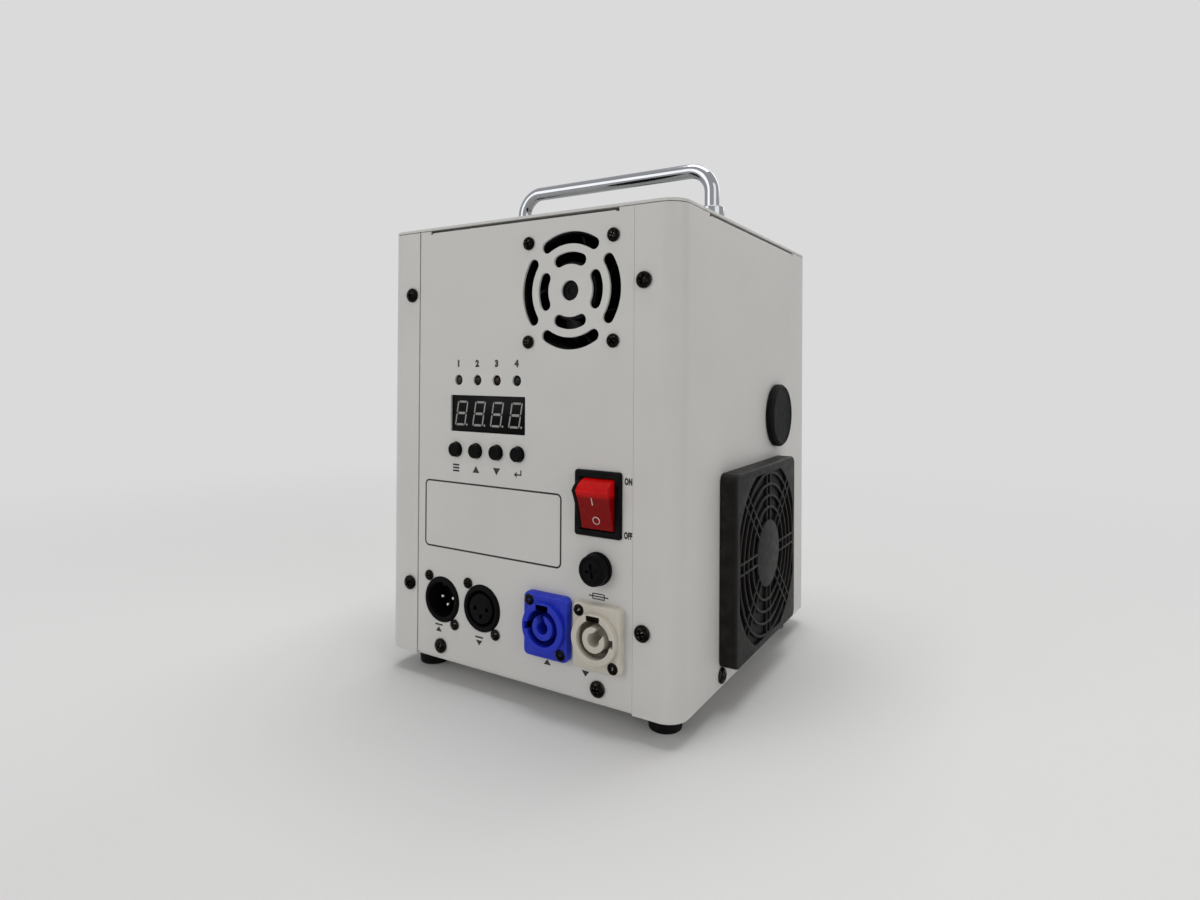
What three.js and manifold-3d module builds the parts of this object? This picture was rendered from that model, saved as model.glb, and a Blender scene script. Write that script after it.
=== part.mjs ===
// Cold spark machine: a sheet-metal box on rubber feet. Its controls and sockets are on one side, a
// filtered fan is on the next side, and the granule hopper and the spark outlet open through the lid.
// Millimetres, +Z up, feet on Z = 0. The control panel looks towards -Y and the filter towards +X.

import * as THREE from 'three';
import { mergeVertices } from 'three/addons/utils/BufferGeometryUtils.js';
import Module from 'manifold-3d';

const wasm = await Module();
wasm.setup();

// Body
const bodyWidth = 186;
const bodyDepth = 200;
const bodyHeight = 250;
const sheet = 1.5;
const seat = 0.3;
const overrun = 6;
const weldTolerance = 0.001;
const cornerRadius = 10.5;
const flangeWidth = 23.9;
const lipWidth = 10;
const grooveHeight = 1.2;
const grooveDepth = 1;
const grooveInset = 33;
const reliefSize = 1.8;
const trayRim = 10;

// Feet
const footHeight = 12;
const footRadius = 9.5;
const footTaper = 1.5;
const footInset = 17;
const footDepthInset = 21;
const footScrewRadius = 4;
const footScrewDepth = 4;

// Handle
const handleFromSide = 25;
const handleFromPanel = 93.5;
const handleRise = 38.4;
const rodRadius = 4.25;
const handleBend = 14;
const collarRadius = 7.2;
const collarHeight = 15.6;
const collarRound = 1;

// Case screws
const screwHeadRadius = 4;
const screwHeadHeight = 2.5;
const screwHeadRim = 0.5;
const screwShankRadius = 1.8;
const screwShankLength = 7;
const screwCrownRadius = 2.6;
const stripScrewInset = 18.5;
const stripScrewFromTop = 36.9;
const stripScrewFromFloor = 51;
const panelScrewFromSeam = 18.45;
const footScrewAboveTray = 6.6;
const sideScrewSpread = 50.8;
const sideScrewAboveTray = 4.6;

// Rear fan
const rearFanFromSeam = 36.1;
const rearFanMargin = 9.6;
const rearFanSize = 60;
const rearFanThick = 25;
const rearFanPitch = 50;
const rearFanHub = 14.5;
const rearFanBlades = 7;
const fanHoleRadius = 2.1;
const fanWall = 1.6;
const fanTipGap = 1;
const fanStrut = 3.2;
const fanBladeThick = 1.4;
const fanShaftRadius = 2;
const fanDisc = 3;
const fanCornerRadius = 4;
const slotWidth = 6;
const outerSlotRadius = 26;
const innerSlotRadius = 16;
const hubHoleRadius = 5;
const outerSlotSweep = 0.5585;
const innerSlotSweep = 0.4189;

// Lamps, display and buttons
const boardFromFan = 52.5;
const boardBelowFan = 8.4;
const boardWidth = 66;
const boardHeight = 53;
const boardThick = 1.6;
const boardDrop = 9.5;
const standoffRadius = 2.6;
const standoffInset = 4;
const lampsAboveCentre = 20.2;
const lampPitch = 13.27;
const lampRadius = 2.5;
const lampRecess = 0.5;
const lampRimRadius = 3;
const lampRim = 1;
const displayAboveCentre = 2.2;
const displayWidth = 50.3;
const displayTall = 19;
const displayRecess = 1;
const buttonsBelowCentre = 17.4;
const buttonPitch = 14.1;
const buttonRadius = 3.8;
const buttonProud = 2.6;
const buttonRound = 0.7;
const buttonCollar = 0.8;
const buttonCollarThick = 1;
const buttonTravel = 0.5;
const keySize = 6;
const keyHeight = 4;
const keyPlay = 0.1;

// Rocker switch
const switchFromSeam = 18.6;
const switchAboveFuse = 30.8;
const bezelWidth = 26;
const bezelTall = 31.5;
const bezelProud = 2;
const bezelRim = 0.8;
const bezelChamfer = 0.9;
const bezelCorner = 1.2;
const rockerWidth = 19.4;
const rockerRadius = 12.3;
const rockerPivotDepth = 1;
const rockerTilt = 18 * Math.PI / 180;
const rockerEdgeTurn = 38.5 * Math.PI / 180;
const rockerBackTurn = 14 * Math.PI / 180;
const rockerDish = 0.8;
const rockerPinRadius = 1.5;
const rockerPinLength = 0.8;
const switchDeep = 27;
const switchWall = 1.2;
const switchCavity = 8;
const terminalWidth = 6.3;
const terminalThick = 0.8;
const terminalLength = 8;

// Fuse
const fuseFromSeam = 18.8;
const fuseAboveSockets = 31.8;
const fuseFlangeRadius = 8;
const fuseFlange = 1.2;
const fuseBarrelRadius = 6;
const fuseBarrelLength = 31;
const fuseBoreRadius = 4.1;
const fuseNutRadius = 8.6;
const fuseNut = 3;
const fuseCapRadius = 7.4;
const fuseCapTall = 4.4;
const fuseCapTaper = 0.7;
const fuseStubRadius = 3.7;
const fuseStubLength = 4;
const fuseTubeRadius = 2.6;
const fuseTubeLength = 20;
const fuseSlotLength = 7;
const fuseSlotWidth = 1.3;
const fuseSlotDepth = 1.4;
const fuseRingRadius = 5.6;
const fuseRingWidth = 0.7;
const fuseRingDepth = 0.5;

// Round three-pole connectors
const dataFromSeam = 18.9;
const dataPitch = 28.4;
const socketsAboveScrews = 5.5;
const dataRingRadius = 12.15;
const dataRingProud = 1.3;
const dataRingRound = 0.8;
const dataBoreRadius = 9.4;
const dataBoreDepth = 14;
const dataBodyLength = 19;
const dataFlangeWidth = 26;
const dataFlangeTall = 31;
const dataFlange = 2;
const dataFlangeCorner = 2;
const poleCircle = 4;
const poleRadius = 1.2;
const poleDip = 5;
const insertRadius = 7.2;
const insertDip = 0.6;
const insertHoleDepth = 8;
const flangeScrewX = 9.5;
const flangeScrewY = 12;
const flangeScrewRadius = 1.7;

// Locking power connectors
const powerFromSeam = 17.35;
const powerPitch = 29.45;
const powerFlangeWidth = 26.4;
const powerFlangeTall = 31.4;
const powerFlange = 4.3;
const powerFlangeEdge = 1.2;
const powerCorner = 2.8;
const powerRingRadius = 12.15;
const powerRingProud = 2.7;
const powerBoreRadius = 9.1;
const powerBoreDepth = 17;
const powerBodyRadius = 11.7;
const powerBodyLength = 25;
const powerCoreRadius = 6.1;
const powerCoreDip = 0.5;
const powerCoreBore = 3.2;
const powerCoreSlot = 4.4;
const powerCoreDepth = 10;
const powerKeyWidth = 6.4;
const powerSideKeyWidth = 3.6;
const powerKeyReach = 10.8;
const powerInSlotTurn = 105 * Math.PI / 180;
const powerOutSlotTurn = 50 * Math.PI / 180;

// Side fan, its filter and the plug
const filterFromPanel = 95;
const filterAboveScrews = 0.15;
const fanInsideFilter = 2.75;
const sideFanThick = 25;
const sideFanScrewInset = 4.75;
const sideFanHub = 19;
const sideFanBlades = 5;
const ventInset = 3;
const filterSize = 97.5;
const filterDepth = 9.3;
const filterWall = 1.8;
const filterFront = 2;
const filterEdge = 1.4;
const filterCorner = 4.5;
const filterFrameThick = 3.2;
const filterFrameRing = 1.8;
const grilleMargin = 4.25;
const grilleBulge = 4.5;
const grilleBar = 1.4;
const grilleHub = 18.2;
const grilleRingCount = 4;
const grilleSpokeCount = 8;
const barSpacing = 5.5;
const barWidth = 1.1;
const plugFromPanel = 134.3;
const plugAboveFilter = 6.25;
const plugHoleRadius = 16.5;
const plugHeadRadius = 18.7;
const plugHead = 4.8;
const plugHeadRim = 1.6;
const plugSkirt = 6;
const plugSkirtWall = 2;

// Base and inner frame
const supplyHalfWidth = 42;
const supplyFront = 45;
const supplyBehind = 25;
const supplyTall = 32;
const supplyStep = 12;
const supplyLedge = 17.6;
const supplyVents = 8;
const supplyVentWidth = 3;
const supplyVentDepth = 1.5;
const bracketHalfWidth = 46;
const bracketLength = 78;
const bracketFromFront = 10;
const bracketShelf = 37;
const bracketTop = 120;
const bracketFoot = 10;
const bracketMargin = 12;

// Driver board
const driverPost = 4;
const driverPostRadius = 3;
const driverBehind = 20;
const driverTall = 125;
const driverFromPanel = 55;
const driverHeight = 60;
const driverInset = 8;
const sinkDepth = 22;
const sinkLength = 70;
const sinkTall = 44;
const sinkBase = 4;
const sinkFin = 2;
const sinkFins = 6;
const chokeRadius = 11;
const chokeTall = 16;
const relaySize = 16;

// Heater, outlet and feed
const nozzleFromFront = 63;
const nozzleBore = 14;
const nozzleWall = 2;
const nozzleRimRadius = 22;
const nozzleRim = 1.6;
const nozzleDish = 0.8;
const cupRadius = 22;
const cupBore = 16;
const cupTall = 56;
const cupFloor = 5;
const cupSpigotRadius = 10;
const cupSpigot = 5;
const cupSpigotWall = 2;
const cupBand = 1;
const cupBandTall = 24;
const cupAirHoles = 4;
const cupAirHole = 1.6;
const hopperFromPanel = 54;
const hopperRadius = 23.7;
const hopperWall = 1.6;
const hopperRimRadius = 26.5;
const hopperRim = 1.6;
const hopperNeck = 14;
const hopperConeBottom = 13;
const hopperThroat = 6.5;
const motorBelowFan = 4.5;
const barrelRadius = 8;
const barrelBore = 6.2;
const feedShaftRadius = 2.2;
const feedFlightRadius = 5.6;
const feedFlightThick = 1.6;
const feedTurns = 5;
const feedEntry = 3;
const feedSpan = 12;
const feedFlange = 2;
const feedHub = 7;
const motorRadius = 12.4;
const motorLength = 26;
const motorHeadLength = 11.7;
const motorStubRadius = 1.5;
const motorStub = 4;
const capRadius = 26;
const capTall = 5;
const capSpigot = 8;
const capSpigotWall = 1.6;
const capKnobRadius = 8;
const capKnobTall = 3;
const capEdge = 1;

// Blower
const blowerWidth = 28;
const blowerSmall = 25;
const blowerLarge = 33;
const blowerWall = 1.5;
const blowerOutlet = 24;
const blowerTongueTurn = 115 * Math.PI / 180;
const blowerEyeRadius = 15;
const blowerMotorRadius = 12;
const blowerMotorProud = 8;
const wheelRadius = 21;
const wheelInner = 16;
const wheelVanes = 8;
const wheelVaneThick = 1.2;
const wheelDisc = 1.6;
const wheelHub = 7;

// Places that follow from the sizes
const halfWidth = bodyWidth / 2;
const midDepth = bodyDepth / 2;
const shellBottom = footHeight;
const wallTop = bodyHeight - sheet - seat;
const trayTop = shellBottom + sheet;
const panelBottom = trayTop + seat;
const seamX = halfWidth - flangeWidth;
const panelHalf = seamX - seat / 2;
const innerFace = -sheet - seat;
const nozzleY = bodyDepth - nozzleFromFront;
const handleHalfSpan = halfWidth - handleFromSide;
const panelScrewX = seamX - panelScrewFromSeam;
const rearFanX = seamX - rearFanFromSeam;
const boardCentreX = rearFanX - boardFromFan;
const switchX = seamX - switchFromSeam;
const fuseX = seamX - fuseFromSeam;
const dataInX = dataFromSeam - seamX;
const dataOutX = dataInX + dataPitch;
const powerOutX = seamX - powerFromSeam;
const powerInX = powerOutX - powerPitch;
const stripScrewHeights = [bodyHeight - stripScrewFromTop, stripScrewFromFloor];
const footScrewLine = trayTop + footScrewAboveTray;
const sideScrewHeight = trayTop + sideScrewAboveTray;
const rearFanHeight = bodyHeight - rearFanMargin - rearFanSize / 2;
const rearFanBottom = rearFanHeight - rearFanSize / 2;
const boardCentreHeight = rearFanBottom - boardBelowFan - boardHeight / 2;
const lampHeight = boardCentreHeight + lampsAboveCentre;
const displayHeight = boardCentreHeight + displayAboveCentre;
const buttonHeight = boardCentreHeight - buttonsBelowCentre;
const socketHeight = footScrewLine + screwHeadRadius + socketsAboveScrews + powerFlangeTall / 2;
const fuseHeight = socketHeight + fuseAboveSockets;
const switchHeight = fuseHeight + switchAboveFuse;
const filterHeight = sideScrewHeight + screwHeadRadius + filterAboveScrews + filterSize / 2;
const plugHeight = filterHeight + filterSize / 2 + plugAboveFilter + plugHeadRadius;
const sideFanSize = filterSize - 2 * fanInsideFilter;
const sideFanPitch = sideFanSize - 2 * sideFanScrewInset;
const ventRadius = sideFanSize / 2 - ventInset;
const grilleReach = filterSize / 2 - grilleMargin;
const grilleRadius = grilleReach + grilleBulge;
const supplyLength = bodyDepth - supplyFront - supplyBehind;
const driverLength = bodyDepth - driverFromPanel - driverBehind;
const feedHeight = rearFanBottom - motorBelowFan - motorRadius;

// Facets of round stretches
const wideSides = 24;
const roundSides = 16;
const smallSides = 8;
const tinySides = 6;
const quarter = Math.PI / 2;
const cornerSteps = 3;
const caseCornerSteps = 5;
const slotSteps = 5;
const bladeWrap = 0.62;
const bladeLean = 0.25;
const bladeCamber = 0.08;
const bladeRootSink = 1;
const lampDomeTurns = [30, 60].map((degrees) => degrees * Math.PI / 180);

const whitePaint = finish(0xd9d8d3, 0.5, 0.1);
const blackPlastic = finish(0x17171a, 0.5, 0);
const blackRubber = finish(0x141416, 0.85, 0);
const chrome = finish(0xd6d8dc, 0.12, 1);
const darkSteel = finish(0x2b2c30, 0.35, 0.9);
const plainSteel = finish(0x9a9ca1, 0.4, 0.9);
const bluePlastic = finish(0x1f33c0, 0.4, 0);
const greyPlastic = finish(0xc4c0b6, 0.5, 0);
const redPlastic = finish(0xc01418, 0.2, 0);
const displayFace = finish(0x0c0c0f, 0.25, 0);
const lampLens = finish(0x2c2a22, 0.3, 0);
const greenBoard = finish(0x1f5a35, 0.6, 0);
const clearGlass = finish(0xdfe6e6, 0.05, 0);
const blackFoam = finish(0x101011, 0.95, 0);

function finish(color, roughness, metalness) {
  return new THREE.MeshStandardMaterial({ color, roughness, metalness });
}

// Outlines are lists of points, counterclockwise.
function arc(x, y, radius, from, to, steps) {
  const points = [];
  for (let i = 0; i <= steps; i += 1) {
    const angle = from + (to - from) * i / steps;
    points.push(new THREE.Vector2(x + radius * Math.cos(angle), y + radius * Math.sin(angle)));
  }
  return points;
}

function circle(radius, sides = roundSides, x = 0, y = 0) {
  return arc(x, y, radius, 0, 2 * Math.PI, sides).slice(0, sides);
}

function roundedRectangle(width, height, radius, steps = cornerSteps) {
  const x = width / 2 - radius;
  const y = height / 2 - radius;
  const corners = [[x, y], [-x, y], [-x, -y], [x, -y]];
  return corners.flatMap(([cx, cy], i) => arc(cx, cy, radius, i * quarter, (i + 1) * quarter, steps));
}

// Solids of three.js geometry
function slab(outline, z0, z1, holes = []) {
  const shape = new THREE.Shape(outline);
  shape.holes = holes.map((hole) => new THREE.Path(hole));
  const geometry = new THREE.ExtrudeGeometry(shape, { depth: z1 - z0, bevelEnabled: false });
  return geometry.translate(0, 0, z0);
}

function block(x0, x1, y0, y1, z0, z1) {
  const box = new THREE.BoxGeometry(x1 - x0, y1 - y0, z1 - z0);
  return box.translate((x0 + x1) / 2, (y0 + y1) / 2, (z0 + z1) / 2);
}

function drum(radius, z0, z1, sides = roundSides) {
  const cylinder = new THREE.CylinderGeometry(radius, radius, z1 - z0, sides);
  return cylinder.rotateX(quarter).translate(0, 0, (z0 + z1) / 2);
}

function turned(profile, sides = roundSides) {
  const points = profile.map(([radius, z]) => new THREE.Vector2(radius, z));
  return new THREE.LatheGeometry(points, sides).rotateX(quarter);
}

// A closed skin through rings of points that all hold the same even number of points.
function skin(rings) {
  const count = rings[0].length;
  const last = (rings.length - 1) * count;
  const index = [];
  for (let start = 0; start < last; start += count) {
    for (let i = 0; i < count; i += 1) {
      const a = start + i;
      const b = start + (i + 1) % count;
      index.push(a, b, b + count, a, b + count, a + count);
    }
  }
  for (let i = 0; i < count / 2 - 1; i += 1) {
    const far = count - 1 - i;
    index.push(i, far, far - 1, i, far - 1, i + 1);
    index.push(last + i, last + i + 1, last + far - 1, last + i, last + far - 1, last + far);
  }
  const geometry = new THREE.BufferGeometry();
  const positions = rings.flat().flatMap((point) => point.toArray());
  geometry.setAttribute('position', new THREE.Float32BufferAttribute(positions, 3));
  geometry.setIndex(index);
  return geometry;
}

function loft(...sections) {
  return skin(sections.map(([outline, z]) => outline.map((p) => new THREE.Vector3(p.x, p.y, z))));
}

// A path through given stations, so that bends get the steps and straight runs get none.
class StationPath extends THREE.Curve {
  constructor(stations) {
    super();
    this.stations = stations;
  }

  getPoint(t, target = new THREE.Vector3()) {
    const place = t * (this.stations.length - 1);
    const from = Math.min(Math.floor(place), this.stations.length - 2);
    return target.lerpVectors(this.stations[from], this.stations[from + 1], place - from);
  }

  getUtoTmapping(u) {
    return u;
  }
}

function rod(stations, radius, sides) {
  const shape = new THREE.Shape(circle(radius, sides));
  const extrudePath = new StationPath(stations);
  return new THREE.ExtrudeGeometry(shape, { steps: stations.length - 1, extrudePath });
}

// Cutting and joining
function solid(geometry) {
  if (!geometry.isBufferGeometry) {
    return geometry;
  }
  const bare = geometry.clone();
  bare.deleteAttribute('normal');
  bare.deleteAttribute('uv');
  const welded = mergeVertices(bare, weldTolerance);
  const corners = Array.from(welded.index.array);
  const triangles = [];
  for (let i = 0; i < corners.length; i += 3) {
    const [a, b, c] = corners.slice(i, i + 3);
    if (a !== b && b !== c && c !== a) {
      triangles.push(a, b, c);
    }
  }
  const vertProperties = new Float32Array(welded.attributes.position.array);
  const triVerts = new Uint32Array(triangles);
  return new wasm.Manifold(new wasm.Mesh({ numProp: 3, vertProperties, triVerts }));
}

function join(...shapes) {
  return shapes.map(solid).reduce((whole, shape) => whole.add(shape));
}

function cut(shape, ...tools) {
  return tools.map(solid).reduce((left, tool) => left.subtract(tool), solid(shape));
}

function common(first, second) {
  return solid(first).intersect(solid(second));
}

function geometryOf(shape) {
  const { vertProperties, triVerts } = solid(shape).asOriginal().simplify(weldTolerance).getMesh();
  const geometry = new THREE.BufferGeometry();
  geometry.setAttribute('position', new THREE.Float32BufferAttribute(vertProperties, 3));
  geometry.setIndex(Array.from(triVerts));
  geometry.computeVertexNormals();
  return geometry;
}

function part(parent, name, shape, material, x = 0, y = 0, z = 0) {
  const mesh = new THREE.Mesh(geometryOf(shape), material);
  mesh.name = name;
  mesh.position.set(x, y, z);
  parent.add(mesh);
  return mesh;
}

// On the panel face, x runs right, y is the height and z points out of the machine.
const machine = new THREE.Group();
const panelFace = new THREE.Group();
panelFace.rotation.x = quarter;
machine.add(panelFace);

// On the filter side, x runs away from the panel, y is the height and z points out of the machine.
const sideFace = new THREE.Group();
sideFace.rotation.set(quarter, 0, quarter, 'ZXY');
sideFace.position.x = halfWidth;
machine.add(sideFace);

const oppositeFace = new THREE.Group();
oppositeFace.rotation.set(quarter, 0, -quarter, 'ZXY');
oppositeFace.position.x = -halfWidth;
machine.add(oppositeFace);

function inFace(face, geometry) {
  face.updateMatrix();
  return geometry.applyMatrix4(face.matrix);
}

function hole(x, y, radius, sides = tinySides) {
  return drum(radius, -overrun, overrun, sides).translate(x, y, 0);
}

function mirrored(value) {
  return [-value, value];
}

function fourCorners(x, y) {
  return [[-x, y], [x, y], [x, -y], [-x, -y]];
}

// Rows of like things on the panel
function rowOf(count, pitch) {
  return Array.from({ length: count }, (_, i) => boardCentreX + (i - (count - 1) / 2) * pitch);
}

const lampXs = rowOf(4, lampPitch);
const buttonXs = rowOf(4, buttonPitch);
const shankHole = screwShankRadius + seat;

// The top edge of a wall turns in between two relief notches, which leaves a groove under the lid.
function wallTopCuts(length) {
  const half = length / 2 - grooveInset;
  const groove = block(-half, half, -overrun, grooveDepth, wallTop - grooveHeight, wallTop + overrun);
  const notches = mirrored(half).map((x) => {
    const near = x - reliefSize / 2;
    const far = near + reliefSize;
    return block(near, far, -overrun, sheet + overrun, wallTop - reliefSize, wallTop + overrun);
  });
  return [groove, ...notches];
}

function wallLip(length) {
  const half = length / 2 - grooveInset - reliefSize;
  return block(-half, half, grooveDepth, sheet + lipWidth, wallTop - sheet, wallTop);
}

function sideWall(geometry, side) {
  return geometry.rotateZ(side * quarter).translate(side * halfWidth, midDepth, 0);
}

function frontWall(geometry) {
  return geometry.rotateZ(Math.PI).translate(0, bodyDepth, 0);
}

function shellWrap() {
  const bend = cornerRadius - sheet;
  const outer = roundedRectangle(bodyWidth, bodyDepth, cornerRadius, caseCornerSteps);
  const inner = roundedRectangle(bodyWidth - 2 * sheet, bodyDepth - 2 * sheet, bend, caseCornerSteps);
  const wrap = slab(outer, shellBottom, wallTop, [inner]).translate(0, midDepth, 0);
  const seam = seamX + seat / 2;
  const lips = [
    sideWall(wallLip(bodyDepth), 1),
    sideWall(wallLip(bodyDepth), -1),
    frontWall(wallLip(bodyWidth))
  ];
  const topCuts = [
    ...wallTopCuts(bodyDepth).map((tool) => sideWall(tool, 1)),
    ...wallTopCuts(bodyDepth).map((tool) => sideWall(tool, -1)),
    ...wallTopCuts(bodyWidth).map(frontWall)
  ];
  const stripX = halfWidth - stripScrewInset;
  const stripHoles = mirrored(stripX).flatMap((x) => stripScrewHeights.map((y) => hole(x, y, shankHole)));
  const sideHoles = mirrored(sideScrewSpread).map((x) => hole(midDepth + x, sideScrewHeight, shankHole));
  const oppositeHoles = mirrored(sideScrewSpread).map((x) => hole(-midDepth - x, sideScrewHeight, shankHole));
  const half = sideFanPitch / 2;
  const fanHoles = fourCorners(half, half).map(([x, y]) => {
    return hole(filterFromPanel + x, filterHeight + y, fanHoleRadius);
  });
  const vent = hole(filterFromPanel, filterHeight, ventRadius, wideSides);
  const plugHole = hole(plugFromPanel, plugHeight, plugHoleRadius + seat, wideSides);
  return cut(
    join(cut(wrap, ...topCuts), ...lips),
    block(-seam, seam, -overrun, overrun, 0, bodyHeight),
    ...stripHoles.map((tool) => inFace(panelFace, tool)),
    ...[vent, plugHole, ...fanHoles, ...sideHoles].map((tool) => inFace(sideFace, tool)),
    ...oppositeHoles.map((tool) => inFace(oppositeFace, tool))
  );
}

// A slot that follows a circle and has round ends
function arcSlot(radius, sweep, turn) {
  const half = slotWidth / 2;
  const outer = arc(0, 0, radius + half, turn - sweep, turn + sweep, slotSteps);
  const inner = arc(0, 0, radius - half, turn + sweep, turn - sweep, slotSteps);
  const endX = radius * Math.cos(turn + sweep);
  const endY = radius * Math.sin(turn + sweep);
  const startX = radius * Math.cos(turn - sweep);
  const startY = radius * Math.sin(turn - sweep);
  const last = turn + sweep;
  const first = turn - sweep + Math.PI;
  const endCap = arc(endX, endY, half, last, last + Math.PI, cornerSteps).slice(1, -1);
  const startCap = arc(startX, startY, half, first, first + Math.PI, cornerSteps).slice(1, -1);
  return slab([...outer, ...endCap, ...inner, ...startCap], -overrun, overrun);
}

function rearFanCuts() {
  const turns = [0, 1, 2, 3].map((i) => i * quarter);
  const half = rearFanPitch / 2;
  const cuts = [
    ...turns.map((turn) => arcSlot(outerSlotRadius, outerSlotSweep, turn)),
    ...turns.map((turn) => arcSlot(innerSlotRadius, innerSlotSweep, turn)),
    hole(0, 0, hubHoleRadius, roundSides),
    ...fourCorners(half, half).map(([x, y]) => hole(x, y, fanHoleRadius))
  ];
  return cuts.map((tool) => tool.translate(rearFanX, rearFanHeight, 0));
}

function connectorHoles(x, radius) {
  const centre = hole(x, socketHeight, radius, wideSides);
  const first = hole(x - flangeScrewX, socketHeight + flangeScrewY, flangeScrewRadius);
  const second = hole(x + flangeScrewX, socketHeight - flangeScrewY, flangeScrewRadius);
  return [centre, first, second];
}

function controlPanel() {
  const tabFront = sheet + seat;
  const tabBack = tabFront + sheet;
  const step = panelHalf - sheet;
  const reach = halfWidth - cornerRadius;
  const rightHalf = [
    [panelHalf, 0], [panelHalf, tabFront], [reach, tabFront], [reach, tabBack], [step, tabBack], [step, sheet]
  ];
  const leftHalf = rightHalf.map(([x, y]) => [-x, y]).reverse();
  const plan = [...rightHalf, ...leftHalf].map(([x, y]) => new THREE.Vector2(x, y));
  const sheetMetal = slab(plan, panelBottom, wallTop);
  const windowWidth = displayWidth + 2 * seat;
  const windowTall = displayTall + 2 * seat;
  const windowOutline = roundedRectangle(windowWidth, windowTall, seat, 1);
  const displayWindow = slab(windowOutline, -overrun, overrun).translate(boardCentreX, displayHeight, 0);
  const switchOutline = roundedRectangle(bezelWidth - 2 * bezelCorner, bezelTall - 2 * bezelCorner, seat, 1);
  const switchHole = slab(switchOutline, -overrun, overrun).translate(switchX, switchHeight, 0);
  const stripX = halfWidth - stripScrewInset;
  const cuts = [
    ...rearFanCuts(),
    ...lampXs.map((x) => hole(x, lampHeight, lampRadius + seat, smallSides)),
    displayWindow,
    ...buttonXs.map((x) => hole(x, buttonHeight, buttonRadius + seat, smallSides)),
    switchHole,
    hole(fuseX, fuseHeight, fuseBarrelRadius + seat, roundSides),
    ...connectorHoles(dataInX, dataRingRadius + seat),
    ...connectorHoles(dataOutX, dataRingRadius + seat),
    ...[powerInX, powerOutX].map((x) => hole(x, socketHeight, powerBodyRadius + seat, roundSides)),
    ...mirrored(panelScrewX).map((x) => hole(x, footScrewLine, shankHole)),
    ...mirrored(stripX).flatMap((x) => stripScrewHeights.map((y) => hole(x, y, shankHole)))
  ];
  return cut(
    join(cut(sheetMetal, ...wallTopCuts(bodyWidth)), wallLip(bodyWidth)),
    ...cuts.map((tool) => inFace(panelFace, tool))
  );
}

function topLid() {
  const outline = roundedRectangle(bodyWidth, bodyDepth, cornerRadius, caseCornerSteps);
  const plate = slab(outline, bodyHeight - sheet, bodyHeight).translate(0, midDepth, 0);
  const low = bodyHeight - overrun;
  const high = bodyHeight + overrun;
  return cut(
    plate,
    drum(nozzleBore + nozzleWall + seat, low, high, wideSides).translate(0, nozzleY, 0),
    drum(hopperRadius + seat, low, high, wideSides).translate(0, hopperFromPanel, 0),
    ...mirrored(handleHalfSpan).map((x) => {
      return drum(shankHole, low, high, smallSides).translate(x, handleFromPanel, 0);
    })
  );
}

// The base is a tray whose rim stands inside the walls and leaves room for the panel's tabs.
function basePlate() {
  const width = bodyWidth - 2 * (sheet + seat);
  const depth = bodyDepth - 2 * (sheet + seat);
  const radius = cornerRadius - sheet - seat;
  const outline = roundedRectangle(width, depth, radius, caseCornerSteps);
  const inside = roundedRectangle(width - 2 * sheet, depth - 2 * sheet, radius - sheet, caseCornerSteps);
  const floor = slab(outline, shellBottom, trayTop).translate(0, midDepth, 0);
  const rim = slab(outline, shellBottom, trayTop + trayRim, [inside]).translate(0, midDepth, 0);
  const tabRoom = panelHalf - sheet - seat;
  const tabCuts = mirrored(1).map((side) => {
    const left = Math.min(side * tabRoom, side * bodyWidth);
    const right = Math.max(side * tabRoom, side * bodyWidth);
    return block(left, right, -overrun, cornerRadius + sheet, trayTop, bodyHeight);
  });
  const footHoles = fourCorners(halfWidth - footInset, midDepth - footDepthInset).map(([x, y]) =>
    drum(screwShankRadius, 0, bodyHeight, smallSides).translate(x, midDepth + y, 0));
  const panelHoles = mirrored(panelScrewX).map((x) => hole(x, footScrewLine, shankHole));
  const sideHoles = mirrored(sideScrewSpread).map((x) => hole(midDepth + x, sideScrewHeight, shankHole));
  const oppositeHoles = mirrored(sideScrewSpread).map((x) => hole(-midDepth - x, sideScrewHeight, shankHole));
  return cut(
    join(floor, cut(rim, ...tabCuts)),
    ...footHoles,
    ...panelHoles.map((tool) => inFace(panelFace, tool)),
    ...sideHoles.map((tool) => inFace(sideFace, tool)),
    ...oppositeHoles.map((tool) => inFace(oppositeFace, tool))
  );
}

function addFeet() {
  const top = footHeight - seat;
  const profile = [
    [0, footScrewDepth], [footScrewRadius, footScrewDepth], [footScrewRadius, 0],
    [footRadius - footTaper, 0], [footRadius, top], [0, top]
  ];
  const places = fourCorners(halfWidth - footInset, midDepth - footDepthInset);
  places.forEach(([x, y], i) => {
    part(machine, `foot_${i + 1}`, turned(profile), blackRubber, x, midDepth + y);
  });
}

function addHandle() {
  const bottom = bodyHeight + seat;
  const top = bodyHeight + handleRise;
  const x = handleHalfSpan - handleBend;
  const z = top - handleBend;
  const flat = [
    new THREE.Vector2(handleHalfSpan, bottom),
    ...arc(x, z, handleBend, 0, quarter, caseCornerSteps),
    ...arc(-x, z, handleBend, quarter, 2 * quarter, caseCornerSteps),
    new THREE.Vector2(-handleHalfSpan, bottom)
  ];
  const stations = flat.map((p) => new THREE.Vector3(p.x, 0, p.y));
  part(machine, 'carry_handle', rod(stations, rodRadius, smallSides), chrome, 0, handleFromPanel);
  const bore = rodRadius + seat;
  const collar = cut(
    turned([
      [0, 0], [collarRadius, 0], [collarRadius, collarHeight - collarRound],
      [collarRadius - collarRound, collarHeight], [0, collarHeight]
    ]),
    drum(bore, -overrun, collarHeight + overrun, smallSides)
  );
  const names = ['handle_collar_left', 'handle_collar_right'];
  mirrored(handleHalfSpan).forEach((place, i) => {
    part(machine, names[i], collar, chrome, place, handleFromPanel, bottom);
  });
}

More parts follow.
